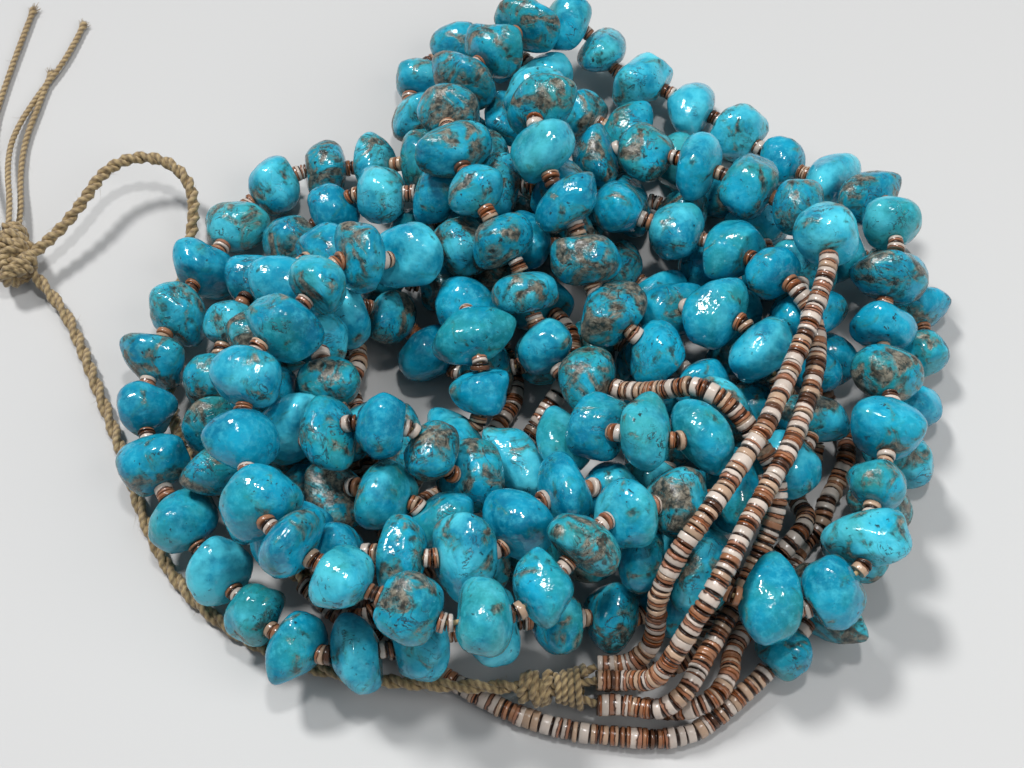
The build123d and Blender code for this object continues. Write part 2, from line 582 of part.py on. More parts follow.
def twine_wrap(cord_route):
    """Closed body of a lashing of twine, with a ridge for each turn, up to the mouth of the tails."""
    mouth, heading = wrap_axis(cord_route)
    turns = round(WRAP_LENGTH / PLY_DIAMETER)
    radii = wrap_outline(turns)
    places = np.linspace(-WRAP_LENGTH, -SEAT_GAP, turns + 1).tolist()
    edges = [Edge.make_line((places[0], 0, 0), (places[0], 0, radii[0]))]
    for x1, x2, z1, z2 in zip(places, places[1:], radii, radii[1:]):
        ridge = ((x1 + x2) / 2, 0, (z1 + z2) / 2 + WRAP_TURN_HEIGHT)
        edges.append(Edge.make_three_point_arc((x1, 0, z1), ridge, (x2, 0, z2)))
    edges.append(Edge.make_line((places[-1], 0, radii[-1]), (places[-1], 0, 0)))
    edges.append(Edge.make_line((places[-1], 0, 0), (places[0], 0, 0)))
    body = Solid.revolve(Face(Wire(edges)), 360, Axis.X)
    rise = np.cross(heading, np.cross([0.0, 0.0, 1.0], heading))
    return body.moved(Plane(origin=vector(mouth), x_dir=vector(heading), z_dir=vector(rise)).location)


def knot_body(room):
    """The knot: turns of cord round a core, grown all round by the given room."""
    radius = KNOT_DIAMETER / 2
    turn_radius = radius - CORD_DIAMETER / 2
    core = scale(Sphere(1.0), by=(KNOT_LENGTH / 2 + room, turn_radius + room, turn_radius + room))
    body = core
    spread = (KNOT_LENGTH - KNOT_DIAMETER) / (KNOT_TURNS - 1)
    for turn in range(KNOT_TURNS):
        place = (turn - (KNOT_TURNS - 1) / 2) * spread
        lean = KNOT_TURN_LEAN if turn % 2 else -KNOT_TURN_LEAN
        ring = Torus(turn_radius * math.cos(math.radians(lean)), CORD_DIAMETER / 2 + room)
        body += Pos(place, 0, 0) * Rot(0, 90, lean) * ring
    return Pos(*KNOT_CENTRE, radius) * Rot(0, 0, KNOT_HEADING) * body


def largest(shape):
    return max(shape.solids(), key=lambda solid: solid.volume)


def strand_pieces(strings, number, pebbles):
    """Nuggets, thread and both tails of one strand."""
    name = f"strand_{number + 1}"
    first_tail, beads, last_tail = string_points(strings, number)
    pieces = {f"{name}_nuggets": nuggets_of(strings, number, pebbles)}
    pieces[f"{name}_thread"], _, share = tube(beads, THREAD_DIAMETER, ARC_SHARE * NUGGET_GAP)
    print(f"thread {number + 1}: volume {share:.4f} of section times length")
    first_tail[-1] += TAIL_START_GAP * unit(first_tail[-2] - first_tail[-1])
    last_tail[0] += TAIL_START_GAP * unit(last_tail[1] - last_tail[0])
    for end, points in (("first", first_tail), ("last", last_tail)):
        pieces[f"{name}_{end}_tail"], _, share = tube(points, HEISHI_DIAMETER)
        print(f"{end} tail {number + 1}: volume {share:.4f} of section times length")
    return pieces


def cord_pieces():
    """The knot, and the cords and free ends that are cut clear of it."""
    pieces, room = {"knot": knot_body(0.0)}, knot_body(SEAT_GAP)
    for number, route in enumerate((CORD_1_ROUTE, CORD_2_ROUTE), 1):
        mouth, heading = wrap_axis(route)
        cord, radii, share = tube(route[:-1] + [mouth - WRAP_LENGTH * heading], CORD_DIAMETER)
        print(f"cord {number}: radii {radii}, volume {share:.4f} of section times length")
        pieces[f"cord_{number}"] = largest(cord - room)
    for number, route in enumerate(FREE_END_ROUTES, 1):
        ply, radii, share = tube(route, PLY_DIAMETER)
        print(f"free end {number}: radii {radii}, volume {share:.4f} of section times length")
        pieces[f"free_end_{number}"] = largest(ply - room)
    return pieces


def main():
    strings = settle()
    pebbles = [drilled_pebble(kind) for kind in range(len(PEBBLE_KINDS))]
    heap = {"wrap_1": twine_wrap(CORD_1_ROUTE), "wrap_2": twine_wrap(CORD_2_ROUTE)}
    for number in range(len(STRAND_ROUTES)):
        heap.update(strand_pieces(strings, number, pebbles))
    middle = Compound(list(heap.values())).bounding_box().center()
    to_origin = Location((-middle.X, -middle.Y, 0))
    os.makedirs("parts", exist_ok=True)
    for name, piece in {**heap, **cord_pieces()}.items():
        export_step(piece.moved(to_origin), f"parts/{name}.step")


main()
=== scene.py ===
import math

import bpy
import numpy as np
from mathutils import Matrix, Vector, noise


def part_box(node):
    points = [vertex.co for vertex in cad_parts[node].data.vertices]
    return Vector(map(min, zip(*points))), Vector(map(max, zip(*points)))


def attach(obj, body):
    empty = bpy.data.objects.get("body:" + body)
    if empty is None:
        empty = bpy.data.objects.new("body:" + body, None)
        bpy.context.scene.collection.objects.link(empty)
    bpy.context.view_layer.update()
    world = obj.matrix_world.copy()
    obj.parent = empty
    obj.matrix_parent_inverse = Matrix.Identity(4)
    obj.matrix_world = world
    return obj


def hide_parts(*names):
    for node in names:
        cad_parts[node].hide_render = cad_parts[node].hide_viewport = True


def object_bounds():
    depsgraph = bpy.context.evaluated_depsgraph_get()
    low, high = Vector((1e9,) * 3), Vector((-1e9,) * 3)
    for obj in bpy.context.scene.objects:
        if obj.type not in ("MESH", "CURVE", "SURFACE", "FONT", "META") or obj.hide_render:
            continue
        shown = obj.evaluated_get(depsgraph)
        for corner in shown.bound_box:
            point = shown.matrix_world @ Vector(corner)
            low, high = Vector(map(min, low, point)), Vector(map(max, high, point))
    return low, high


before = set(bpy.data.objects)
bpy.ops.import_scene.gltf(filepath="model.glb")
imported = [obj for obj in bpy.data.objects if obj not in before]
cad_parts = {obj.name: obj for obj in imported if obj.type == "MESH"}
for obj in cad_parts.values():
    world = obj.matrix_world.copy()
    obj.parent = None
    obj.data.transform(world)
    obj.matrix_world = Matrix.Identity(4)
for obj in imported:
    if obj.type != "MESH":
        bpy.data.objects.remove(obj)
cad_low, cad_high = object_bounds()

bl_info = {
    "name": "Turquoise and Heishi Necklace",
    "version": (1, 0, 0),
    "blender": (4, 5, 0),
    "location": "3D View > Sidebar > Necklace",
    "description": "Nuggets, heishi discs, twine and a stage for the packed necklace",
    "category": "Object",
}

MM = 0.001
UP = np.array([0.0, 0.0, 1.0])
STRANDS = range(1, 6)
TAILS = [f"strand_{strand}_{end}_tail" for strand in STRANDS for end in ("first", "last")]

# Surfaces of one drilled nugget in the CAD model, and how many of them are its bore
NUGGET_SURFACES = 4
BORE_SURFACES = 2

# Radius of the tails in the CAD model, in millimetres
TAIL_RADIUS = 1.9

# Where the random draws of each group of pieces start; a piece adds its own number
SEEDS = {"nuggets": 21, "spacers": 41, "tails": 60, "cords": 80, "cord fibres": 180, "free ends": 90,
         "free end fibres": 190, "knot": 97, "wraps": 110}

# Where the waves of a disc and the twist of a ply may start, in radians
PHASES = (0, 6)

# Routes of the cords and of their free ends, in millimetres, before the move to the row's origin
KNOT_CENTRE = (-94.0, 25.5)
CORD_ROUTES = {
    "cord_1": [(-91, 23, 4), (-84, 16, 1.4), (-79, 6, 1.3), (-74, -5, 1.2), (-69, -16, 1.3),
               (-64, -29, 1.2), (-57, -41, 1.3), (-46, -50, 1.2), (-34, -55.6, 1.7), (-22, -58.8, 4.4),
               (-9, -60.3, 5.8), (-2.2, -60.36, 5.8)],
    "cord_2": [(-91, 24, 5.5), (-86, 29, 6), (-81.5, 35.5, 7.5), (-78, 42.5, 8.5), (-72.2, 45.5, 9),
               (-65.8, 44.5, 8.6), (-61.2, 39.9, 7.4), (-60.4, 33, 5.6), (-61.6, 24, 3.4), (-63, 13, 1.8),
               (-63, 2, 1.3), (-61, -9, 2.4), (-56, -20, 5.2), (-45.07, -29.5, 5.39)],
}
FREE_END_ROUTES = {
    "free_end_1": [(-95.2, 30, 6.2), (-96, 37, 5.4), (-98.5, 46, 3.4), (-99.5, 56, 1.4), (-96, 67, 0.8),
                   (-91, 77, 0.9), (-89, 86, 0.7)],
    "free_end_2": [(-94.2, 30, 3.4), (-94.6, 37, 2.6), (-96.5, 46, 1.2), (-97, 55, 0.8), (-95.5, 64, 0.9),
                   (-94, 73, 0.7)],
    "free_end_3": [(-97.4, 30, 6.4), (-99.4, 37, 5), (-102.5, 47, 2.8), (-104, 58, 1), (-103, 69, 0.8),
                   (-101.5, 80, 0.9), (-100, 90, 0.7)],
    "free_end_4": [(-97.6, 29, 3.4), (-100.6, 36, 2.2), (-105, 44, 1), (-108.5, 53, 0.8), (-111, 62, 0.9),
                   (-110, 71, 0.7)],
}

# A point before each wrap on its axis and the middle of its mouth, in the coordinates of the routes
WRAP_MOUTHS = {
    "wrap_1": ((-9, -60.3, 5.8), (13.8, -60.5, 5.8)),
    "wrap_2": ((-56, -20, 5.2), (-33, -40, 5.6)),
}


# Sizes and colours that a user would change

def colour(name, description, default):
    """A colour that the user may change."""
    return bpy.props.FloatVectorProperty(name=name, description=description, default=default,
                                         subtype="COLOR", size=3, min=0.0, max=1.0)


def length(name, description, default):
    """A length that the user may change, in metres."""
    return bpy.props.FloatProperty(name=name, description=description, default=default,
                                   unit="LENGTH", subtype="DISTANCE", min=0.0)


def angle(name, description, degrees):
    """An angle that the user may change."""
    return bpy.props.FloatProperty(name=name, description=description, default=math.radians(degrees),
                                   unit="ROTATION", subtype="ANGLE")


def factor(name, description, default, least=0.0, most=100.0):
    """A plain number that the user may change."""
    return bpy.props.FloatProperty(name=name, description=description, default=default, min=least, max=most)


def quantity(name, description, default, least, most=64):
    """A whole number that the user may change."""
    return bpy.props.IntProperty(name=name, description=description, default=default, min=least, max=most)


class NECKLACE_PG_nuggets(bpy.types.PropertyGroup):
    """Shape and colours of the turquoise nuggets."""
    grid: quantity("Grid", "Faces along each side of a nugget's six patches", 13, 4, 24)
    facets: quantity("Facets", "Soft flats worn on each nugget", 13, 4)
    swell: factor("Swell", "Mean reach, as a share of the smooth form", 0.975, 0.9, 1.15)
    beans: factor("Beans", "Share of the nuggets with a hollow side", 0.35, 0.0, 1.0)
    longer: length("Longer", "How far each end reaches past the smooth form", 0.1 * MM)
    stretch: factor("Stretch", "Fullness towards the drilled ends", 0.12, 0.0, 0.5)
    square: factor("Squareness", "2 is an egg, more is blockier", 2.3, 2.0, 4.0)
    higher: length("Higher", "How far the heap may reach above the smooth form", 0.8 * MM)
    press: factor("Press", "Hardness of the edges of pressed flats", 16.0, 2.0)
    light: colour("Light turquoise", "Colour of the palest stone", (0.085, 0.57, 0.69))
    middle: colour("Turquoise", "Colour of most of the stone", (0.006, 0.345, 0.52))
    deep: colour("Deep turquoise", "Colour of the darkest stone", (0.0, 0.155, 0.265))
    green: colour("Green turquoise", "Greenish tint of some stones", (0.02, 0.23, 0.20))
    matrix: colour("Matrix", "Tan host rock in the stone", (0.17, 0.13, 0.088))
    matrix_pale: colour("Pale matrix", "Palest host rock in the stone", (0.35, 0.31, 0.235))
    matrix_dark: colour("Dark matrix", "Dark cracks and specks", (0.016, 0.013, 0.010))


class NECKLACE_PG_heishi(bpy.types.PropertyGroup):
    """Sizes and colours of the heishi shell discs."""
    radius: length("Radius", "Outer radius of a disc", 1.72 * MM)
    bore: length("Bore", "Radius of the hole in a disc", 0.45 * MM)
    edge: length("Edge", "Rounding of a disc's rim", 0.2 * MM)
    sides: quantity("Sides", "Sides of a disc", 14, 8)
    slivers: factor("Slivers", "Chance of a thin dark disc between two others", 0.6, 0.0, 1.0)
    white: colour("White shell", "Colour of the white discs", (0.56, 0.49, 0.43))
    cream: colour("Cream shell", "Colour of the cream discs", (0.43, 0.29, 0.195))
    tan: colour("Tan shell", "Colour of the tan discs", (0.29, 0.115, 0.05))
    umber: colour("Umber shell", "Colour of the brown discs", (0.085, 0.035, 0.017))
    # The dark shell colour is the thin line in the growth bands, and the near-black of the thin discs, which
    # is painted shade of the seams between discs
    brown: colour("Dark shell", "Colour of the thin dark discs", (0.022, 0.008, 0.004))
    rust: colour("Rust band", "Colour of the growth bands", (0.26, 0.075, 0.02))


class NECKLACE_PG_twine(bpy.types.PropertyGroup):
    """Sizes and colours of the twine."""
    ply: length("Ply radius", "Radius of each of a cord's two plies", 0.66 * MM)
    pitch: length("Twist", "Length of one turn of the first cord's two plies", 8.5 * MM)
    tight_pitch: length("Tight twist", "Length of one turn of the second cord's two plies", 5.4 * MM)
    yarn_pitch: length("Ply twist", "Length of one turn of the yarns in a ply", 2.6 * MM)
    end_ply: length("Free end radius", "Radius of a free end", 0.56 * MM)
    light: colour("Light fibre", "Colour of the lighter fibres", (0.52, 0.39, 0.20))
    middle: colour("Fibre", "Colour of most of the fibres", (0.31, 0.205, 0.088))
    # The dark fibre colours the fine dark hairs and is also the painted shade in the grooves between the
    # yarns
    dark: colour("Dark fibre", "Colour of the grooves", (0.075, 0.042, 0.016))


class NECKLACE_PG_stage(bpy.types.PropertyGroup):
    """Floor, camera and lights."""
    floor: colour("Floor", "Colour of the floor", (0.50, 0.495, 0.485))
    key: factor("Key", "Strength of the main light", 2.5)
    fill: factor("Fill", "Power of the soft side light, in watts", 2.0)
    top: factor("Top", "Power of the small light above, in watts", 2.6)
    sky: factor("Sky", "Strength of the light from all round", 0.26)
    sun_size: angle("Key size", "Angle that the main light fills in the sky", 10)
    elevation: angle("Camera angle", "Angle of the view above the floor", 60)
    distance: length("Camera distance", "Distance from the camera to the heap", 317 * MM)
    view_width: angle("View width", "Horizontal angle of the view", 33)


# Small tools

def unit(vectors):
    """The vectors with length one."""
    return vectors / np.maximum(np.linalg.norm(vectors, axis=-1, keepdims=True), 1e-12)


def read(items, name, width, kind=float):
    """A property of many mesh elements as one array."""
    values = np.empty(len(items) * width, kind)
    items.foreach_get(name, values)
    return values.reshape(-1, width) if width > 1 else values


def surfaces(node):
    """Points and face normals of each separate surface of a CAD node, in millimetres."""
    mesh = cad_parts[node].data
    points = read(mesh.vertices, "co", 3) / MM
    edges = read(mesh.edges, "vertices", 2, int)
    label = np.arange(len(points))
    while True:
        low = np.minimum(label[edges[:, 0]], label[edges[:, 1]])
        new = label.copy()
        np.minimum.at(new, edges[:, 0], low)
        np.minimum.at(new, edges[:, 1], low)
        new = new[new]
        if (new == label).all():
            break
        label = new
    normals = read(mesh.polygons, "normal", 3)
    first = read(mesh.loops, "vertex_index", 1, int)[read(mesh.polygons, "loop_start", 1, int)]
    return [(points[label == name], normals[label[first] == name]) for name in np.unique(label)]


def route_shift():
    """Move from the coordinates of the routes to the row's origin, in millimetres."""
    low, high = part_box("knot")
    middle = (np.array(low) + np.array(high)) / 2 / MM
    return np.array([middle[0] - KNOT_CENTRE[0], middle[1] - KNOT_CENTRE[1], 0.0])


SHIFT = route_shift()


class Stone:
    """Place and shape of one drilled nugget of the CAD model."""

    def __init__(self, parts):
        parts = sorted(parts, key=lambda part: len(part[0]))
        normals = np.concatenate([part[1] for part in parts[:BORE_SURFACES]])
        self.axis = np.linalg.eigh(normals.T @ normals)[1][:, 0]
        points = np.concatenate([part[0] for part in parts[BORE_SURFACES:]])
        start = points.mean(axis=0)
        x, y, z = (points - start).T
        terms = np.stack([x * x, y * y, z * z, 2 * x * y, 2 * x * z, 2 * y * z, x, y, z], axis=1)
        fit = np.linalg.lstsq(terms, np.ones(len(points)), rcond=None)[0]
        form = np.array([[fit[0], fit[3], fit[4]], [fit[3], fit[1], fit[5]], [fit[4], fit[5], fit[2]]])
        offset = -0.5 * np.linalg.solve(form, fit[6:])
        self.centre = start + offset
        self.form = form / (1 + offset @ form @ offset)
        self.reach = np.linalg.inv(self.form)
        self.half = 1 / math.sqrt(self.axis @ self.form @ self.axis)


def find_stones():
    """The nuggets of each strand in order, each with its axis towards the next one."""
    found = {}
    for strand in STRANDS:
        parts = surfaces(f"strand_{strand}_nuggets")
        if len(parts) % NUGGET_SURFACES:
            raise RuntimeError(f"strand {strand} has {len(parts)} surfaces")
        stones = [Stone(parts[k:k + NUGGET_SURFACES]) for k in range(0, len(parts), NUGGET_SURFACES)]
        for stone, after in zip(stones, stones[1:]):
            if stone.axis @ (after.centre - stone.centre) < 0:
                stone.axis = -stone.axis
        if stones[-1].axis @ (stones[-1].centre - stones[-2].centre) < 0:
            stones[-1].axis = -stones[-1].axis
        found[strand] = stones
    return found


# Least cosine of half a bend, so that a sharp bend doesn't reach too far out
SHARPEST_BEND = 0.3

# What tells a straight run of a tube from its arcs: the largest share of its normals along its axis
# and the least across, and how deep the points at each of its ends lie, in millimetres
STRAIGHT_NORMALS = 1e-4
ROUND_NORMALS = 0.1
END_DEPTH = 0.25


def bend_points(start, into, end, out, count=9):
    """Points of the tangent bend from one straight piece to the next, without its ends."""
    chord = np.linalg.norm(end - start)
    half_turn = math.acos(max(-1.0, min(1.0, float(into @ out)))) / 2
    reach = chord / 2 / max(math.cos(half_turn), SHARPEST_BEND)
    shares = np.linspace(0, 1, count)[1:-1, None]
    return ((1 - shares) ** 2 * start + shares ** 2 * end
            + shares * (1 - shares) * ((start + reach * into) + (end - reach * out)))


def tail_line(node, start):
    """Centre line of a round tube of the CAD model, from the end that is nearer to start."""
    runs = []
    for points, normals in surfaces(node):
        spread, axes = np.linalg.eigh(normals.T @ normals / len(normals))
        if spread[0] > STRAIGHT_NORMALS or spread[1] < ROUND_NORMALS:
            continue
        axis = axes[:, 0]
        height = points @ axis
        runs.append([points[height < height.min() + END_DEPTH].mean(axis=0),
                     points[height > height.max() - END_DEPTH].mean(axis=0)])
    start = np.asarray(start, float)
    if np.linalg.norm(runs[0][0] - start) > np.linalg.norm(runs[-1][0] - start):
        runs.reverse()
    line, here = [], start
    for first, last in runs:
        if np.linalg.norm(last - here) < np.linalg.norm(first - here):
            first, last = last, first
        if line:
            into, out = unit(line[-1] - line[-2]), unit(last - first)
            line.extend(bend_points(line[-1], into, first, out))
        line.extend([first, last])
        here = last
    return np.array(line)


def find_lines():
    """The centre line of each tail, from its wrap."""
    lines = {}
    for tail in TAILS:
        wrap = "wrap_1" if "first" in tail else "wrap_2"
        lines[tail] = tail_line(tail, np.array(WRAP_MOUTHS[wrap][1]) + SHIFT)
    return lines


def resample(line, step):
    """The line with evenly spaced points."""
    travelled = np.concatenate([[0.0], np.cumsum(np.linalg.norm(np.diff(line, axis=0), axis=1))])
    count = max(2, int(round(travelled[-1] / step)) + 1)
    places = np.linspace(0, travelled[-1], count)
    return np.stack([np.interp(places, travelled, line[:, axis]) for axis in range(3)], axis=1)


def line_length(line):
    """Length along a line."""
    return float(np.linalg.norm(np.diff(line, axis=0), axis=1).sum())


def line_frames(points):
    """Tangents and two sides that turn as little as possible along a line."""
    tangents = unit(np.gradient(points, axis=0))
    side = np.cross(tangents[0], UP)
    # A line that starts nearly upright takes its first side from another direction
    if np.linalg.norm(side) < 0.1:
        side = np.cross(tangents[0], [0.0, 1.0, 0.0])
    sides = []
    for tangent in tangents:
        side = side - (side @ tangent) * tangent
        side = side / np.linalg.norm(side)
        sides.append(side)
    sides = np.array(sides)
    return tangents, sides, np.cross(tangents, sides)


def add_piece(name, points, faces, material, replaced=(), attributes=None, uvs=None):
    """A piece of mesh in metres that rides on the root and stands for the named CAD nodes."""
    mesh = bpy.data.meshes.new(name)
    mesh.from_pydata((np.asarray(points) * MM).tolist(), [], faces)
    for label, values in (attributes or {}).items():
        layer = mesh.attributes.new(label, "FLOAT_COLOR", "POINT")
        layer.data.foreach_set("color", np.asarray(values, np.float32).ravel())
    if uvs is not None:
        layer = mesh.uv_layers.new(name="UVMap")
        layer.data.foreach_set("uv", np.asarray(uvs, np.float32).ravel())
    mesh.shade_smooth()
    mesh.materials.append(material)
    piece = bpy.data.objects.new(name, mesh)
    bpy.context.scene.collection.objects.link(piece)
    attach(piece, "root")
    if replaced:
        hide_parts(*replaced)
    return piece


# Materials

class Nodes:
    """A few words for building a material's nodes."""

    def __init__(self, name):
        self.material = bpy.data.materials.new(name)
        self.material.use_nodes = True
        self.tree = self.material.node_tree
        self.shader = self.tree.nodes["Principled BSDF"]

    def add(self, kind, **settings):
        """A new node with the given settings."""
        node = self.tree.nodes.new(kind)
        for key, value in settings.items():
            setattr(node, key, value)
        return node

    def link(self, source, target):
        """Give an input a number, a colour or another node's output."""
        if isinstance(source, (int, float)):
            target.default_value = source
        elif not hasattr(source, "is_output"):
            target.default_value = tuple(source)[:3] + (1.0,)
        else:
            self.tree.links.new(source, target)

    def math(self, operation, first, second=0.0):
        """One sum of two values, such as ABSOLUTE or MAXIMUM."""
        node = self.add("ShaderNodeMath", operation=operation)
        self.link(first, node.inputs[0])
        self.link(second, node.inputs[1])
        return node.outputs[0]

    def plus(self, first, second):
        """The first value plus the second."""
        return self.math("ADD", first, second)

    def minus(self, first, second):
        """The first value less the second."""
        return self.math("SUBTRACT", first, second)

    def times(self, first, second):
        """The first value times the second."""
        return self.math("MULTIPLY", first, second)

    def noise(self, vector, scale, detail=3.0, roughness=0.5, distortion=0.0):
        """Cloudy noise from 0 to 1; the scale is in waves for each unit of the vector."""
        node = self.add("ShaderNodeTexNoise")
        self.tree.links.new(vector, node.inputs["Vector"])
        for key, value in (("Scale", scale), ("Detail", detail), ("Roughness", roughness),
                           ("Distortion", distortion)):
            node.inputs[key].default_value = value
        return node.outputs["Fac"]

    def step(self, value, low, high):
        """0 where the value is under low, 1 where it is over high, and smooth between."""
        node = self.add("ShaderNodeMapRange", interpolation_type="SMOOTHSTEP")
        self.link(value, node.inputs["Value"])
        self.link(low, node.inputs["From Min"])
        self.link(high, node.inputs["From Max"])
        return node.outputs["Result"]

    def mix(self, share, first, second):
        """The first colour where the share is 0, the second where it is 1."""
        node = self.add("ShaderNodeMix", data_type="RGBA")
        self.link(share, node.inputs[0])
        self.link(first, node.inputs[6])
        self.link(second, node.inputs[7])
        return node.outputs[2]

    def scaled(self, vector, scale):
        """A vector times a number."""
        node = self.add("ShaderNodeVectorMath", operation="SCALE")
        self.tree.links.new(vector, node.inputs[0])
        node.inputs["Scale"].default_value = scale
        return node.outputs[0]

    def sum(self, first, second):
        """The sum of two vectors."""
        node = self.add("ShaderNodeVectorMath", operation="ADD")
        self.tree.links.new(first, node.inputs[0])
        self.tree.links.new(second, node.inputs[1])
        return node.outputs[0]

    def bump(self, height, strength, distance, normal=None):
        """A normal that follows fine heights, over another normal where one is given."""
        node = self.add("ShaderNodeBump")
        node.inputs["Strength"].default_value = strength
        node.inputs["Distance"].default_value = distance
        self.link(height, node.inputs["Height"])
        if normal is not None:
            self.tree.links.new(normal, node.inputs["Normal"])
        return node.outputs["Normal"]


# Noises of the turquoise: waves for each millimetre, detail, roughness and distortion
STONE_NOISE = {
    "clouds": (0.11, 5.0, 0.55, 0.6),
    "pale clouds": (0.17, 4.0, 0.6, 0.3),
    "green clouds": (0.13, 3.0, 0.5, 0.4),
    "mottle": (0.75, 4.0, 0.65, 0.2),
    "rock": (0.21, 6.0, 0.6, 0.7),
    "rock grain": (0.9, 5.0, 0.68, 0.3),
    "cracks": (0.22, 5.0, 0.6, 1.3),
    "cracked places": (0.12, 2.0),
    "specks": (0.95, 4.0, 0.62, 0.4),
    "specked places": (0.16, 2.0),
    "spots": (0.52, 2.0, 0.5, 0.3),
    "polish": (0.6, 3.0),
    "waves": (0.42, 3.0, 0.5),
}

# How far apart in the noise two nuggets may lie, in millimetres
STONE_SPREAD = 90.0

# How much paler, greener and rockier one nugget may be than another
PALE_SPREAD = 0.42
GREEN_SPREAD = 0.45
ROCK_SPREAD = 0.20

# Roughness of the polished stone, what the noise adds to it and what bare rock adds
STONE_ROUGHNESS = 0.07
POLISH_SPREAD = 0.12
ROCK_ROUGHNESS = 0.16


def turquoise_material(settings):
    """Polished turquoise with tan and brown matrix, different on each nugget."""
    nodes = Nodes("Turquoise")
    place = nodes.scaled(nodes.add("ShaderNodeTexCoord").outputs["Object"], 1 / MM)
    stone = nodes.add("ShaderNodeAttribute", attribute_name="stone")
    split = nodes.add("ShaderNodeSeparateColor")
    nodes.link(stone.outputs["Color"], split.inputs[0])
    where = nodes.sum(place, nodes.scaled(stone.outputs["Color"], STONE_SPREAD))

    def noise(name, scatter=None):
        """A noise of the table, with what the nugget's own draw adds."""
        value = nodes.noise(where, *STONE_NOISE[name])
        return value if scatter is None else nodes.plus(value, scatter)

    def own(draw, spread):
        """One of the nugget's own draws, as far as spread / 2 both ways."""
        return nodes.times(nodes.minus(split.outputs[draw], 0.5), spread)

    # Clouds of dark, middle, pale and greenish stone, and a fine pale mottle
    body = nodes.mix(nodes.step(noise("clouds"), 0.30, 0.68), settings.deep, settings.middle)
    paleness = noise("pale clouds", own(0, PALE_SPREAD))
    body = nodes.mix(nodes.step(paleness, 0.46, 0.86), body, settings.light)
    greenness = noise("green clouds", own(1, GREEN_SPREAD))
    body = nodes.mix(nodes.times(nodes.step(greenness, 0.52, 0.85), 0.6), body, settings.green)
    body = nodes.mix(nodes.times(nodes.step(noise("mottle"), 0.42, 0.75), 0.4), body, settings.light)

    # Patches of host rock with a green rim
    share = own(2, ROCK_SPREAD)
    rock = noise("rock", share)
    patch = nodes.step(rock, 0.545, 0.67)
    rim = nodes.step(rock, 0.48, 0.60)
    grain = noise("rock grain")
    tan = nodes.mix(nodes.step(grain, 0.36, 0.58), settings.matrix_dark, settings.matrix)
    tan = nodes.mix(nodes.times(nodes.step(grain, 0.50, 0.72), 0.75), tan, settings.matrix_pale)
    body = nodes.mix(nodes.times(rim, 0.55), body, settings.green)

    # Dark cracks, specks and spots, where there is rock near
    ridge = nodes.math("ABSOLUTE", nodes.minus(noise("cracks"), 0.5))
    cracked = nodes.step(noise("cracked places", share), 0.50, 0.64)
    crack = nodes.times(nodes.minus(1.0, nodes.step(ridge, 0.003, 0.02)), cracked)
    speck = nodes.times(nodes.step(noise("specks"), 0.61, 0.67),
                        nodes.step(noise("specked places", share), 0.44, 0.60))
    spot = nodes.times(nodes.step(noise("spots"), 0.55, 0.70), nodes.step(rock, 0.47, 0.58))
    body = nodes.mix(nodes.times(patch, 0.92), body, tan)
    for mark, strength in ((spot, 0.7), (crack, 0.85), (speck, 0.9)):
        body = nodes.mix(nodes.times(mark, strength), body, settings.matrix_dark)
    nodes.link(body, nodes.shader.inputs["Base Color"])

    # Polish, duller on rock, with soft waves and pits
    dull = nodes.math("MAXIMUM", patch, crack)
    smooth = nodes.plus(nodes.times(dull, ROCK_ROUGHNESS), nodes.times(noise("polish"), POLISH_SPREAD))
    nodes.link(nodes.plus(smooth, STONE_ROUGHNESS), nodes.shader.inputs["Roughness"])
    nodes.shader.inputs["IOR"].default_value = 1.5
    waves = nodes.bump(noise("waves"), 0.35, 0.9 * MM)
    pits = nodes.minus(nodes.times(grain, dull), nodes.times(dull, 1.2))
    nodes.link(nodes.bump(pits, 0.5, 0.22 * MM, waves), nodes.shader.inputs["Normal"])
    return nodes.material


# Noises of the shell: waves for each millimetre, detail and roughness
SHELL_NOISE = {
    "band wobble": (0.8, 3.0),
    "cream veil": (1.3, 4.0, 0.6),
    "grime": (2.6, 4.0, 0.7),
    "polish": (1.7, 3.0),
    "grain": (2.2, 4.0, 0.6),
}

# How far a growth band wobbles, as a share of a disc's thickness, and roughness of the shell
WOBBLE = 0.5
SHELL_ROUGHNESS = 0.10
SHELL_SPREAD = 0.26


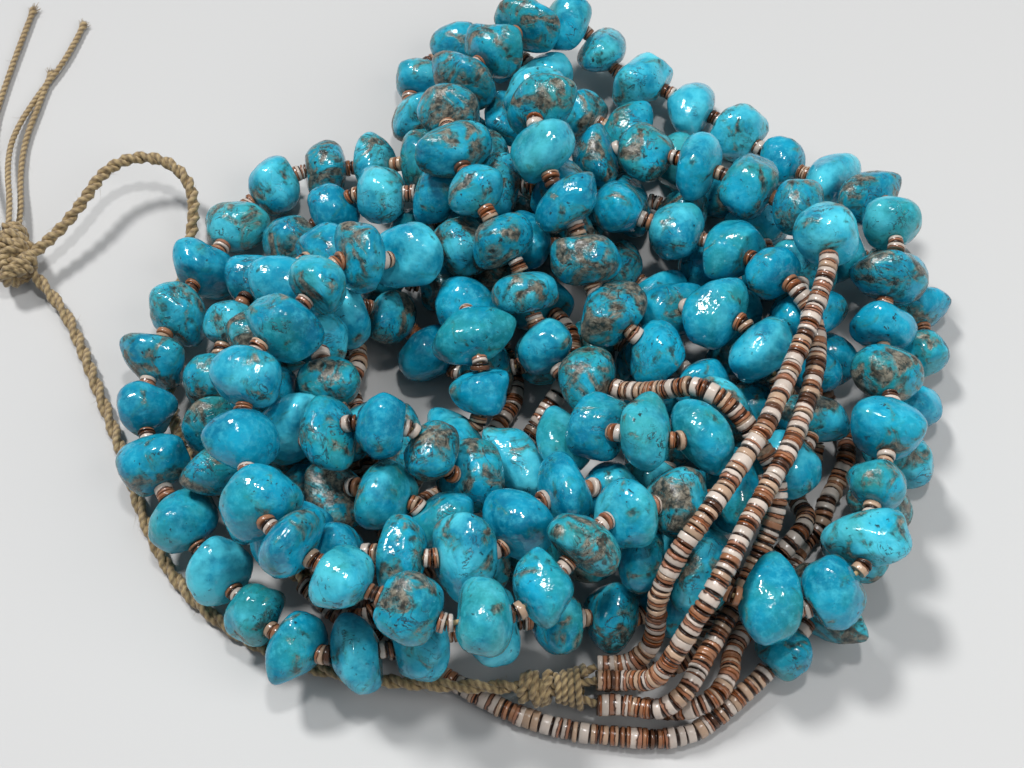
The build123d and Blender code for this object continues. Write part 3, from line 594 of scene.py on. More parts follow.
def heishi_material(settings):
    """Shell discs: each disc's own colour, with growth bands across its thickness."""
    nodes = Nodes("Heishi shell")
    place = nodes.scaled(nodes.add("ShaderNodeTexCoord").outputs["Object"], 1 / MM)
    shell = nodes.add("ShaderNodeAttribute", attribute_name="shell")
    layers = nodes.add("ShaderNodeAttribute", attribute_name="layers")
    split = nodes.add("ShaderNodeSeparateColor")
    nodes.link(layers.outputs["Color"], split.inputs[0])

    def noise(name):
        """A noise of the table."""
        return nodes.noise(place, *SHELL_NOISE[name])

    # A rust band from each disc's own depth, with a thin dark line in it, on the discs that have one
    wobble = nodes.times(nodes.minus(noise("band wobble"), 0.5), WOBBLE)
    depth = nodes.plus(split.outputs[0], wobble)
    edge = split.outputs[1]
    banded = split.outputs[2]
    band = nodes.times(nodes.step(depth, edge, nodes.plus(edge, 0.4)), banded)
    stripe = nodes.minus(depth, nodes.plus(edge, 0.27))
    thin = nodes.minus(1.0, nodes.step(nodes.math("ABSOLUTE", stripe), 0.03, 0.12))

    # The disc's own colour, veiled with cream and grime only where it is pale
    tone = nodes.add("ShaderNodeSeparateColor")
    nodes.link(shell.outputs["Color"], tone.inputs[0])
    pale = nodes.step(tone.outputs[0], 0.05, 0.4)
    veil = nodes.times(nodes.times(noise("cream veil"), 0.4), pale)
    body = nodes.mix(veil, shell.outputs["Color"], settings.cream)
    body = nodes.mix(nodes.times(band, 0.85), body, settings.rust)
    body = nodes.mix(nodes.times(nodes.times(thin, banded), 0.9), body, settings.brown)
    grime = nodes.step(noise("grime"), 0.56, 0.78)
    body = nodes.mix(nodes.times(nodes.times(grime, 0.4), pale), body, settings.tan)
    nodes.link(body, nodes.shader.inputs["Base Color"])

    # Polish of old shell, with a faint coat and grain
    rough = nodes.plus(nodes.times(noise("polish"), SHELL_SPREAD), SHELL_ROUGHNESS)
    nodes.link(rough, nodes.shader.inputs["Roughness"])
    nodes.shader.inputs["Coat Weight"].default_value = 0.2
    nodes.shader.inputs["Coat Roughness"].default_value = 0.1
    nodes.link(nodes.bump(noise("grain"), 0.3, 0.12 * MM), nodes.shader.inputs["Normal"])
    return nodes.material


# Stretch of the fibre's noises across, along and through a yarn, and the noises: waves for each unit,
# detail, roughness and distortion; the broad one is in waves for each millimetre
FIBRE_STRETCH = (9.0, 0.55, 1.0)
STREAK_NOISE = (1.6, 5.0, 0.65, 0.35)
HAIR_NOISE = (4.2, 3.0, 0.6, 0.2)
BROAD_NOISE = (0.3, 3.0, 0.5)


def twine_material(settings, name="Twine", roughness=0.62):
    """Plant fibre: long streaks along the yarns, painted shade in the grooves and fine dark hairs."""
    nodes = Nodes(name)
    uv = nodes.add("ShaderNodeTexCoord").outputs["UV"]
    stretch = nodes.add("ShaderNodeMapping")
    stretch.inputs["Scale"].default_value = FIBRE_STRETCH
    nodes.link(uv, stretch.inputs["Vector"])
    streak = nodes.noise(stretch.outputs[0], *STREAK_NOISE)
    hair = nodes.noise(stretch.outputs[0], *HAIR_NOISE)
    place = nodes.scaled(nodes.add("ShaderNodeTexCoord").outputs["Object"], 1 / MM)
    broad = nodes.noise(place, *BROAD_NOISE)
    lie = nodes.add("ShaderNodeAttribute", attribute_name="painted_groove_shade")
    split = nodes.add("ShaderNodeSeparateColor")
    nodes.link(lie.outputs["Color"], split.inputs[0])
    painted_groove_shade = split.outputs[0]
    body = nodes.mix(nodes.step(streak, 0.3, 0.66), settings.middle, settings.light)
    body = nodes.mix(nodes.times(nodes.step(broad, 0.4, 0.7), 0.4), body, settings.middle)
    body = nodes.mix(nodes.times(nodes.step(hair, 0.56, 0.72), 0.5), body, settings.dark)
    # Painted shade: darker colour in the grooves between the two yarns of a ply
    body = nodes.mix(nodes.times(painted_groove_shade, 0.85), body, settings.dark)
    nodes.link(body, nodes.shader.inputs["Base Color"])
    nodes.shader.inputs["Roughness"].default_value = roughness
    nodes.shader.inputs["Sheen Weight"].default_value = 0.25
    relief = nodes.plus(streak, nodes.times(hair, 0.5))
    nodes.link(nodes.bump(relief, 0.55, 0.14 * MM), nodes.shader.inputs["Normal"])
    return nodes.material


def floor_material(settings):
    """Plain pale floor with the faintest unevenness."""
    nodes = Nodes("Floor")
    place = nodes.add("ShaderNodeTexCoord").outputs["Object"]
    tone = nodes.times(nodes.noise(place, 6.0, 3.0), 0.10)
    nodes.link(nodes.mix(tone, settings.floor, (0.5, 0.5, 0.5)), nodes.shader.inputs["Base Color"])
    nodes.shader.inputs["Roughness"].default_value = 0.6
    return nodes.material


# Nuggets

def patch_grid(count):
    """Even directions on a ball as six patches of quads, with their faces."""
    steps = np.tan(np.linspace(-math.pi / 4, math.pi / 4, count + 1))
    u, v = [axis.ravel() for axis in np.meshgrid(steps, steps, indexing="ij")]
    one = np.ones_like(u)
    sides = [np.stack(side, axis=1) for side in
             ((one, u, v), (-one, v, u), (v, one, u), (u, -one, v), (u, v, one), (v, u, -one))]
    points = unit(np.concatenate(sides))
    keys = np.round(points, 6)
    unique, index = np.unique(keys, axis=0, return_inverse=True)
    index = index.ravel()
    faces = []
    for side in range(6):
        base = side * (count + 1) ** 2
        for i in range(count):
            for j in range(count):
                a = base + i * (count + 1) + j
                faces.append([a, a + count + 1, a + count + 2, a + 1])
    faces = index[np.array(faces)]
    return unit(unique), faces


# How nuggets vary. Reaches and depths are shares of the smooth form, and pairs are the least and most of
# a draw. A dent's width is that of its bell curve in 1 less the cosine of the angle from its middle.
FLAT_SCATTER = 0.16
FLAT_REACH = (0.88, 1.0)
FLAT_HARDNESS = (3.6, 6.0)
TAPER = (0.0, 0.09)
DENT_COUNT = (1, 4)
DENT_WIDTH = (0.04, 0.14)
DENT_DEPTH = (0.03, 0.09)
BEAN_LEAN = (1.0, 0.4, 1.0)
BEAN_DEPTH = (0.10, 0.20)
BEAN_WIDTH = (0.10, 0.20)
RIPPLE_DEPTH = 0.04
RIPPLE_WAVES = 1.5

# How the planes between neighbours are found: the widest gap in millimetres, rounds and stride
NEIGHBOUR_GAP = 1.5
PLANE_ROUNDS = 60
PLANE_STRIDE = 0.8

# Step between the points that stand for a tail among the nuggets' neighbours, in millimetres
TAIL_STEP = 1.2


def spread_directions(count, rng):
    """Directions that cover a ball evenly, in a random turn."""
    k = np.arange(count) + 0.5
    polar = np.arccos(1 - 2 * k / count)
    around = math.pi * (1 + math.sqrt(5)) * k
    points = np.stack([np.cos(around) * np.sin(polar), np.sin(around) * np.sin(polar), np.cos(polar)],
                      axis=1)
    turn = np.linalg.qr(rng.normal(size=(3, 3)))[0]
    return unit(points @ turn + rng.normal(scale=FLAT_SCATTER, size=points.shape))


def tumbled_radius(directions, settings, rng):
    """How far a tumbled nugget reaches in each direction, as a share of its smooth form."""
    flats = spread_directions(settings.facets, rng)
    reach = rng.uniform(*FLAT_REACH, len(flats))
    lean = np.maximum(directions @ flats.T, 0) / reach
    hardness = rng.uniform(*FLAT_HARDNESS)
    share = (lean ** hardness).sum(axis=1) ** (-1 / hardness)
    square = settings.square
    share *= settings.swell / share.mean() / (np.abs(directions) ** square).sum(axis=1) ** (1 / square)
    taper = unit(rng.normal(size=3))
    share *= 1 + rng.uniform(*TAPER) * (directions @ taper)
    for _ in range(rng.integers(*DENT_COUNT)):
        dent = unit(rng.normal(size=3))
        width = rng.uniform(*DENT_WIDTH)
        share -= rng.uniform(*DENT_DEPTH) * np.exp(-(1 - directions @ dent) / width)
    if rng.uniform() < settings.beans:
        hollow = unit(rng.normal(size=3) * BEAN_LEAN)
        share -= rng.uniform(*BEAN_DEPTH) * np.exp(-(1 - directions @ hollow) / rng.uniform(*BEAN_WIDTH))
    offset = Vector(rng.uniform(-50, 50, 3))
    ripple = [noise.fractal(Vector(direction) * RIPPLE_WAVES + offset, 1.0, 2.0, 3)
              for direction in directions]
    return share + RIPPLE_DEPTH * np.array(ripple)


def contact_planes(stones, others):
    """Planes that keep each nugget clear of the bodies beside it, as normal and distance pairs."""
    centres = np.array([stone.centre for stone in stones] + [centre for centre, _ in others])
    balls = [np.eye(3) * radius ** 2 for _, radius in others]
    reach = np.array([stone.reach for stone in stones] + balls)
    size = np.sqrt(np.linalg.eigvalsh(reach)[:, 2])
    count = len(stones)
    gap = np.linalg.norm(centres[:count, None] - centres[None], axis=2)
    one, two = np.where(gap < size[:count, None] + size[None] + NEIGHBOUR_GAP)
    keep = (one != two) & ((two >= count) | (one < two))
    one, two = one[keep], two[keep]
    between = centres[two] - centres[one]
    normal = unit(between)
    for _ in range(PLANE_ROUNDS):
        pull_one = np.einsum("pab,pb->pa", reach[one], normal)
        pull_two = np.einsum("pab,pb->pa", reach[two], normal)
        size_one = np.sqrt(np.einsum("pa,pa->p", pull_one, normal))
        size_two = np.sqrt(np.einsum("pa,pa->p", pull_two, normal))
        slope = between - pull_one / size_one[:, None] - pull_two / size_two[:, None]
        slope -= np.einsum("pa,pa->p", slope, normal)[:, None] * normal
        normal = unit(normal + PLANE_STRIDE / np.linalg.norm(between, axis=1)[:, None] * slope)
    room = np.einsum("pa,pa->p", between, normal) - size_one - size_two
    planes = [[] for _ in stones]
    for k in range(len(one)):
        ball = two[k] >= count
        planes[one[k]].append((normal[k], size_one[k] + (room[k] if ball else room[k] / 2)))
        if not ball:
            planes[two[k]].append((-normal[k], size_two[k] + room[k] / 2))
    return planes


def stone_end(stone, settings):
    """Half of the length of a nugget along its hole, in millimetres."""
    return stone.half + settings.longer / MM


def nugget_points(stone, planes, directions, settings, rng):
    """Points of one organic nugget, in millimetres."""
    turn = np.linalg.qr(rng.normal(size=(3, 3)))[0]
    spread, axes = np.linalg.eigh(stone.form)
    ball = directions @ turn
    points = (ball / np.sqrt(spread)) @ axes.T * tumbled_radius(ball, settings, rng)[:, None]
    along = points @ stone.axis
    points += (settings.stretch * along * (np.abs(along) / stone.half) ** 2)[:, None] * stone.axis
    room_above = (cad_high[2] + settings.higher) / MM - stone.centre[2]
    flats = planes + [(-UP, stone.centre[2]), (UP, room_above)]
    normals = np.array([normal for normal, _ in flats])
    depths = np.array([depth for _, depth in flats])
    press = (np.maximum(points @ normals.T, 0) / depths) ** settings.press
    points /= ((1 + press.sum(axis=1)) ** (1 / settings.press))[:, None]
    over = np.max(points @ normals.T / depths, axis=1)
    points /= np.maximum(over, 1)[:, None]
    end = stone_end(stone, settings)
    along = points @ stone.axis
    points -= (along - np.clip(along, -end, end))[:, None] * stone.axis
    return stone.centre + points


class NECKLACE_OT_nuggets(bpy.types.Operator):
    """Replace the smooth nuggets of the five strands with tumbled turquoise"""
    bl_idname = "necklace.nuggets"
    bl_label = "Turquoise Nuggets"

    def execute(self, context):
        settings = context.scene.necklace_nuggets
        material = turquoise_material(settings)
        directions, quads = patch_grid(settings.grid)
        stones = [stone for strand in STRANDS for stone in STONES[strand]]
        others = [(point, TAIL_RADIUS) for line in LINES.values() for point in resample(line, TAIL_STEP)]
        planes = contact_planes(stones, others)
        rng = np.random.default_rng(SEEDS["nuggets"])
        number = 0
        for strand in STRANDS:
            points, faces, tints = [], [], []
            for stone in STONES[strand]:
                faces.append(quads + len(points) * len(directions))
                points.append(nugget_points(stone, planes[number], directions, settings, rng))
                tint = np.append(rng.uniform(0, 1, 3), 1.0)
                tints.append(np.tile(tint, (len(directions), 1)))
                number += 1
            add_piece(f"turquoise_strand_{strand}", np.concatenate(points),
                      np.concatenate(faces).tolist(), material,
                      [f"strand_{strand}_nuggets"], {"stone": np.concatenate(tints)})
        return {"FINISHED"}


# Heishi discs

# How discs vary: scatter of the axis, scatter of the place in millimetres, how far each is from round in
# two and three waves, spread of its rim's rounding and its limit as a share of the thickness, what the
# rounding takes off the corner, spread of the brightness, and where the growth bands start
DISC_LEAN = 0.035
DISC_SHIFT = 0.05
OVAL = 0.022
TRIANGLE = 0.012
EDGE_SPREAD = (0.6, 1.3)
EDGE_LIMIT = 0.4
CORNER = 0.29
TINT_SPREAD = (0.8, 1.15)
BAND_START = (0.2, 0.6)

# Thin discs coloured near-black as painted shade of the seams between discs: their thickness in millimetres,
# and how wide they are beside the others
SLIVER_THICKNESS = (0.24, 0.45)
SLIVER_LIMIT = 0.5
SLIVER_WIDTH = 0.93

# Spread of the discs' width in a tail and between nuggets, as shares of the set radius
TAIL_SPREAD = (0.93, 1.03)
SPACER_SPREAD = (0.78, 1.0)

# Joint between two discs, reach of the line that gives a disc its axis, step between that line's points,
# and the least room that still takes one more disc, in millimetres
DISC_JOINT = 0.04
AXIS_REACH = 0.5
LINE_STEP = 0.1
LEAST_ROOM = 0.35


class DiscStack:
    """Gathers discs into one mesh."""

    def __init__(self, settings, rng, spread):
        self.settings = settings
        self.rng = rng
        self.spread = spread
        self.points, self.faces, self.shell, self.layers = [], [], [], []
        # Colour, share of the discs, thickness in millimetres and chance of growth bands
        self.palette = [(settings.white, 0.42, (0.9, 1.9), 0.85), (settings.cream, 0.26, (0.8, 1.5), 0.9),
                        (settings.tan, 0.20, (0.6, 1.2), 0.7), (settings.umber, 0.12, (0.5, 0.9), 0.4)]

    def pick(self):
        """A kind of disc: colour, thickness and chance of growth bands."""
        draw = self.rng.uniform()
        total = 0.0
        for tone, share, thickness, banded in self.palette:
            total += share
            if draw <= total:
                break
        return tone, self.rng.uniform(*thickness), banded

    def add(self, centre, axis, thickness, tone, banded):
        """One disc with a hole, a rounded rim and its own slight wobble."""
        rng, settings = self.rng, self.settings
        axis = unit(axis + rng.normal(scale=DISC_LEAN, size=3))
        side = unit(np.cross(axis, [0.31, 0.22, 0.93]))
        rise = np.cross(axis, side)
        slim = SLIVER_WIDTH if thickness < SLIVER_LIMIT else 1.0
        radius = settings.radius / MM * rng.uniform(*self.spread) * slim
        bore = settings.bore / MM
        edge = min(settings.edge / MM * rng.uniform(*EDGE_SPREAD), thickness * EDGE_LIMIT)
        half = thickness / 2
        corner = CORNER * edge
        profile = [(bore, -half), (radius - edge, -half), (radius - corner, -half + corner),
                   (radius, -half + edge), (radius, half - edge), (radius - corner, half - corner),
                   (radius - edge, half), (bore, half)]
        turns = np.linspace(0, 2 * math.pi, settings.sides, endpoint=False) + rng.uniform(0, 1)
        uneven = 1 + OVAL * np.cos(2 * turns + rng.uniform(*PHASES))
        uneven = uneven + TRIANGLE * np.cos(3 * turns + rng.uniform(*PHASES))
        centre = centre + rng.normal(scale=DISC_SHIFT, size=3)
        rings = []
        for reach, height in profile:
            out = reach * (uneven if reach > bore else np.ones_like(turns))
            rings.append(centre + height * axis + out[:, None] * (np.cos(turns)[:, None] * side
                                                                  + np.sin(turns)[:, None] * rise))
        base, count = sum(len(part) for part in self.points), settings.sides
        self.points.append(np.concatenate(rings))
        for ring in range(len(profile)):
            after = (ring + 1) % len(profile)
            for k in range(count):
                n = (k + 1) % count
                self.faces.append((base + ring * count + k, base + ring * count + n,
                                   base + after * count + n, base + after * count + k))
        tint = np.append(np.array(tone[:]) * rng.uniform(*TINT_SPREAD), 1.0)
        self.shell.append(np.tile(tint, (len(profile) * count, 1)))
        band = 1.0 if rng.uniform() < banded else 0.0
        flip = rng.uniform() < 0.5
        start = rng.uniform(*BAND_START)
        for _, height in profile:
            depth = height / thickness + 0.5
            row = [1 - depth if flip else depth, start, band, 1.0]
            self.layers.append(np.tile(row, (count, 1)))

    def fill(self, line):
        """Discs side by side along a line, from end to end."""
        line = resample(line, LINE_STEP)
        total = line_length(line)
        kinds, used = [], 0.0
        while used < total - LEAST_ROOM:
            kind = self.pick()
            if kinds and self.rng.uniform() < self.settings.slivers:
                # A thin disc in the near-black colour, painted shade of the seam between two discs
                kinds.append((self.settings.brown, self.rng.uniform(*SLIVER_THICKNESS), 0.0))
                used += kinds[-1][1]
            kinds.append(kind)
            used += kind[1]
        scale = total / used
        travelled = np.linspace(0, total, len(line))
        here = 0.0
        for tone, thickness, banded in kinds:
            thickness *= scale
            middle = here + thickness / 2
            ends = [np.array([np.interp(place, travelled, line[:, axis]) for axis in range(3)])
                    for place in (max(middle - AXIS_REACH, 0), min(middle + AXIS_REACH, total))]
            centre = np.array([np.interp(middle, travelled, line[:, axis]) for axis in range(3)])
            self.add(centre, unit(ends[1] - ends[0]), thickness - DISC_JOINT, tone, banded)
            here += thickness

    def piece(self, name, material, replaced=()):
        """The piece made of all the discs."""
        colours = {"shell": np.concatenate(self.shell), "layers": np.concatenate(self.layers)}
        return add_piece(name, np.concatenate(self.points), self.faces, material,
                         replaced, colours)


class NECKLACE_OT_spacers(bpy.types.Operator):
    """Add the heishi discs between the nuggets of each strand"""
    bl_idname = "necklace.spacers"
    bl_label = "Heishi Spacers"

    def execute(self, context):
        settings = context.scene.necklace_heishi
        nuggets = context.scene.necklace_nuggets
        material = heishi_material(settings)
        for number, strand in enumerate(STRANDS):
            rng = np.random.default_rng(SEEDS["spacers"] + number)
            stack = DiscStack(settings, rng, SPACER_SPREAD)
            for stone, after in zip(STONES[strand], STONES[strand][1:]):
                start = stone.centre + stone_end(stone, nuggets) * stone.axis
                end = after.centre - stone_end(after, nuggets) * after.axis
                bend = bend_points(start, stone.axis, end, after.axis)
                stack.fill(np.concatenate([[start], bend, [end]]))
            stack.piece(f"spacers_strand_{strand}", material)
        return {"FINISHED"}


class NECKLACE_OT_tails(bpy.types.Operator):
    """Replace the tubes of the ten tails with heishi discs"""
    bl_idname = "necklace.tails"
    bl_label = "Heishi Tails"

    def execute(self, context):
        settings = context.scene.necklace_heishi
        nuggets = context.scene.necklace_nuggets
        material = bpy.data.materials["Heishi shell"]
        for number, node in enumerate(TAILS):
            first = "first" in node
            stone = STONES[int(node.split("_")[1])][0 if first else -1]
            entry = stone.centre + (-1 if first else 1) * stone_end(stone, nuggets) * stone.axis
            stack = DiscStack(settings, np.random.default_rng(SEEDS["tails"] + number), TAIL_SPREAD)
            stack.fill(np.concatenate([LINES[node], [entry]]))
            stack.piece(node.replace("tail", "heishi"), material, [node])
        return {"FINISHED"}


# Twine

# A ply: how far its two yarns stand out, how rough it is, what its thinnest tip keeps and how much painted
# shade darkens its grooves, as shares; its least height above the floor and the length of a flared end, in
# millimetres
YARN_DEPTH = 0.15
PLY_ROUGHNESS = 0.03
THINNEST_TIP = 0.3
GROOVE_SHADE = 0.38
GROOVE_CONTRAST = 0.72
LEAST_HEIGHT = 0.03
FLARE_LENGTH = 1.8

# A twisted pair: distance of each ply from the middle as a share of its radius, step between its points
# in millimetres, and how far in radians and over what length its twist runs uneven
PAIR_REACH = 0.84
PAIR_STEP = 0.5
UNEVEN_TURN = 0.5
UNEVEN_LENGTH = 23.0

# Loose fibres: radius, length, height above the floor in millimetres; the rest are shares and scatters
HAIR_RADIUS = 0.035
HAIR_LENGTH = 2.4
HAIR_HEIGHT = 0.08
HAIR_SPREAD = (0.4, 1.0)
HAIR_ROOT = 0.8
HAIR_LIFT = 0.55
HAIR_SCATTER = 0.25
HAIR_BEND = 0.3
HAIR_TAPER = 0.8

# Number of loose fibres on each cord, free end and wrap, and the step between the points of a cord's path
CORD_HAIRS = 70
END_HAIRS = 26
WRAP_HAIRS = 30
PATH_STEP = 1.0


class Rope:
    """Gathers plies of twine into one mesh."""

    def __init__(self, settings, seed):
        self.settings = settings
        self.rng = np.random.default_rng(seed)
        self.points, self.faces, self.uvs, self.painted_groove_shade = [], [], [], []
        self.count = 0

    def ply(self, line, radius, sides=12, taper=0.0, twist=True, flare=0.0):
        """A tube along a line, made of two yarns twisted on each other."""
        _, side, rise = line_frames(line)
        travelled = np.concatenate([[0.0], np.cumsum(np.linalg.norm(np.diff(line, axis=0), axis=1))])
        around = np.linspace(0, 2 * math.pi, sides, endpoint=False)
        pitch = self.settings.yarn_pitch / MM
        spin = 2 * math.pi * travelled / pitch + self.rng.uniform(*PHASES)
        lobes = np.cos(2 * (around[None] - spin[:, None])) if twist else np.zeros((len(line), sides))
        rough = self.rng.normal(scale=PLY_ROUGHNESS, size=(len(line), sides))
        width = radius * (1 + YARN_DEPTH * lobes + rough)
        left = travelled[-1] - travelled
        if taper:
            width *= np.clip(left / taper, THINNEST_TIP, 1.0)[:, None]
        if flare:
            width *= 1 + flare * np.clip(1 - left / FLARE_LENGTH, 0, 1)[:, None]
        ring = (np.cos(around)[None, :, None] * side[:, None] + np.sin(around)[None, :, None] * rise[:, None])
        points = line[:, None] + width[..., None] * ring
        points[..., 2] = np.maximum(points[..., 2], LEAST_HEIGHT)
        base = self.count
        self.points.append(points.reshape(-1, 3))
        # Painted shade: the colour is darker in the grooves between the two yarns
        painted_groove_shade = np.clip(GROOVE_SHADE - GROOVE_CONTRAST * lobes, 0, 1)
        self.painted_groove_shade.append(np.repeat(painted_groove_shade.reshape(-1, 1), 4, axis=1))
        for row in range(len(line) - 1):
            for k in range(sides):
                n = (k + 1) % sides
                a, b = base + row * sides + k, base + row * sides + n
                self.faces.append((a, b, b + sides, a + sides))
                u0, u1 = k / sides, (k + 1) / sides
                lean0, lean1 = travelled[row] / pitch, travelled[row + 1] / pitch
                self.uvs += [(u0 - lean0, travelled[row]), (u1 - lean0, travelled[row]),
                             (u1 - lean1, travelled[row + 1]), (u0 - lean1, travelled[row + 1])]
        for row, turn in ((0, -1), (len(line) - 1, 1)):
            ends = [base + row * sides + k for k in range(sides)][::turn]
            self.faces.append(tuple(ends))
            self.uvs += [(0.5, travelled[row])] * sides
        self.count += len(line) * sides

    def twisted(self, line, radius, pitch, sides=12):
        """Two plies twisted on each other along a line."""
        line = resample(line, PAIR_STEP)
        _, side, rise = line_frames(line)
        places = np.linspace(0, 1, len(line)) * line_length(line)
        turn = 2 * math.pi * places / pitch
        turn = turn + UNEVEN_TURN * np.sin(2 * math.pi * places / UNEVEN_LENGTH)
        out = np.cos(turn)[:, None] * side + np.sin(turn)[:, None] * rise
        for sign in (1, -1):
            self.ply(line + sign * PAIR_REACH * radius * out, radius, sides)

    def hairs(self, line, reach, count, long=HAIR_LENGTH):
        """Loose fibres that stand out of a ply or a cord."""
        rng = self.rng
        line = resample(line, PAIR_STEP)
        tangents = line_frames(line)[0]
        for _ in range(count):
            k = rng.integers(1, len(line) - 1)
            out = rng.normal(size=3)
            out = unit(out - (out @ tangents[k]) * tangents[k])
            start = line[k] + out * reach * HAIR_ROOT
            along = tangents[k] * rng.choice([-1, 1])
            lean = unit(along + HAIR_LIFT * out + rng.normal(scale=HAIR_SCATTER, size=3))
            size = long * rng.uniform(*HAIR_SPREAD)
            bend = rng.normal(scale=HAIR_BEND, size=3)
            shares = np.linspace(0, 1, 6)[:, None]
            hair = start + size * (shares * lean + shares ** 2 * bend / 2)
            hair[:, 2] = np.maximum(hair[:, 2], HAIR_HEIGHT)
            self.ply(hair, HAIR_RADIUS, 3, taper=size * HAIR_TAPER, twist=False)

    def piece(self, name, material, replaced=()):
        """The piece made of all the plies."""
        return add_piece(name, np.concatenate(self.points), self.faces, material, replaced,
                         {"painted_groove_shade": np.concatenate(self.painted_groove_shade)}, self.uvs)


def smooth_line(name, route):
    """Points of the smooth line of a route, from a curve that is taken away again."""
    curve = bpy.data.curves.new(name, "CURVE")
    curve.dimensions = "3D"
    spline = curve.splines.new("NURBS")
    spline.points.add(len(route) - 1)
    for point, place in zip(spline.points, route):
        point.co = (*((np.array(place) + SHIFT) * MM), 1.0)
    spline.order_u = 3
    spline.use_endpoint_u = True
    curve.resolution_u = 10
    holder = bpy.data.objects.new(name, curve)
    mesh = bpy.data.meshes.new_from_object(holder)
    points = read(mesh.vertices, "co", 3) / MM
    bpy.data.meshes.remove(mesh)
    bpy.data.objects.remove(holder)
    bpy.data.curves.remove(curve)
    return points


class NECKLACE_OT_cords(bpy.types.Operator):
    """Replace the two plain cords with twisted twine"""
    bl_idname = "necklace.cords"
    bl_label = "Cords"

    # How far the fibres of a cord start from its middle, as a share of its plies' radius
    FIBRE_REACH = 1.6

    def execute(self, context):
        settings = context.scene.necklace_twine
        material = bpy.data.materials["Twine"]
        pitches = (settings.pitch / MM, settings.tight_pitch / MM)
        for number, (node, route) in enumerate(CORD_ROUTES.items()):
            line = smooth_line(f"{node}_line", route)
            rope = Rope(settings, SEEDS["cords"] + number)
            rope.twisted(line, settings.ply / MM, pitches[number])
            piece = rope.piece(f"twine_{node}", material, [node])
            fuzz = Rope(settings, SEEDS["cord fibres"] + number)
            fuzz.hairs(line, self.FIBRE_REACH * settings.ply / MM, CORD_HAIRS)
            fibres = fuzz.piece(f"fibres_{node}", material)
            path = resample(line, PATH_STEP)[::-1] * MM
            line_length(line) * MM
        return {"FINISHED"}


class NECKLACE_OT_free_ends(bpy.types.Operator):
    """Replace the four plain free ends with single frayed plies"""
    bl_idname = "necklace.free_ends"
    bl_label = "Free Ends"

    # How much wider the cut end is, and the step between a free end's points in millimetres
    FLARE = 0.35
    STEP = 0.4

    # Tufts at the cut end: number, length, radius, depth in the ply, height above the floor and scatter of
    # their roots in millimetres, and scatter of their lean and droop
    TUFTS = 30
    TUFT_LENGTH = (1.0, 1.9)
    TUFT_RADIUS = 0.13
    TUFT_ROOT = 0.7
    TUFT_HEIGHT = 0.12
    TUFT_SCATTER = 0.22
    TUFT_LEAN = 0.35
    TUFT_DROOP = 0.1
    TUFT_TAPER = 0.7

    def fray(self, fuzz, line):
        """Short tufts at the end of a line."""
        rng = fuzz.rng
        tip = line[-1]
        heading = unit(line[-1] - line[-3])
        for _ in range(self.TUFTS):
            lean = unit(heading + rng.normal(scale=self.TUFT_LEAN, size=3))
            shares = np.linspace(0, 1, 5)[:, None]
            size = rng.uniform(*self.TUFT_LENGTH)
            droop = rng.normal(scale=self.TUFT_DROOP, size=3)
            start = tip - heading * self.TUFT_ROOT + rng.normal(scale=self.TUFT_SCATTER, size=3)
            tuft = start + size * (shares * lean + shares ** 2 * droop)
            tuft[:, 2] = np.maximum(tuft[:, 2], self.TUFT_HEIGHT)
            fuzz.ply(tuft, self.TUFT_RADIUS, 4, taper=size * self.TUFT_TAPER, twist=False)

    def execute(self, context):
        settings = context.scene.necklace_twine
        material = bpy.data.materials["Twine"]
        radius = settings.end_ply / MM
        for number, (node, route) in enumerate(FREE_END_ROUTES.items()):
            line = smooth_line(f"{node}_line", route)
            rope = Rope(settings, SEEDS["free ends"] + number)
            rope.ply(resample(line, self.STEP), radius, flare=self.FLARE)
            piece = rope.piece(f"twine_{node}", material, [node])
            fuzz = Rope(settings, SEEDS["free end fibres"] + number)
            fuzz.hairs(line, radius, END_HAIRS)
            self.fray(fuzz, line)
            fibres = fuzz.piece(f"fibres_{node}", material)
            path = resample(line, PATH_STEP) * MM
            line_length(line) * MM
        return {"FINISHED"}


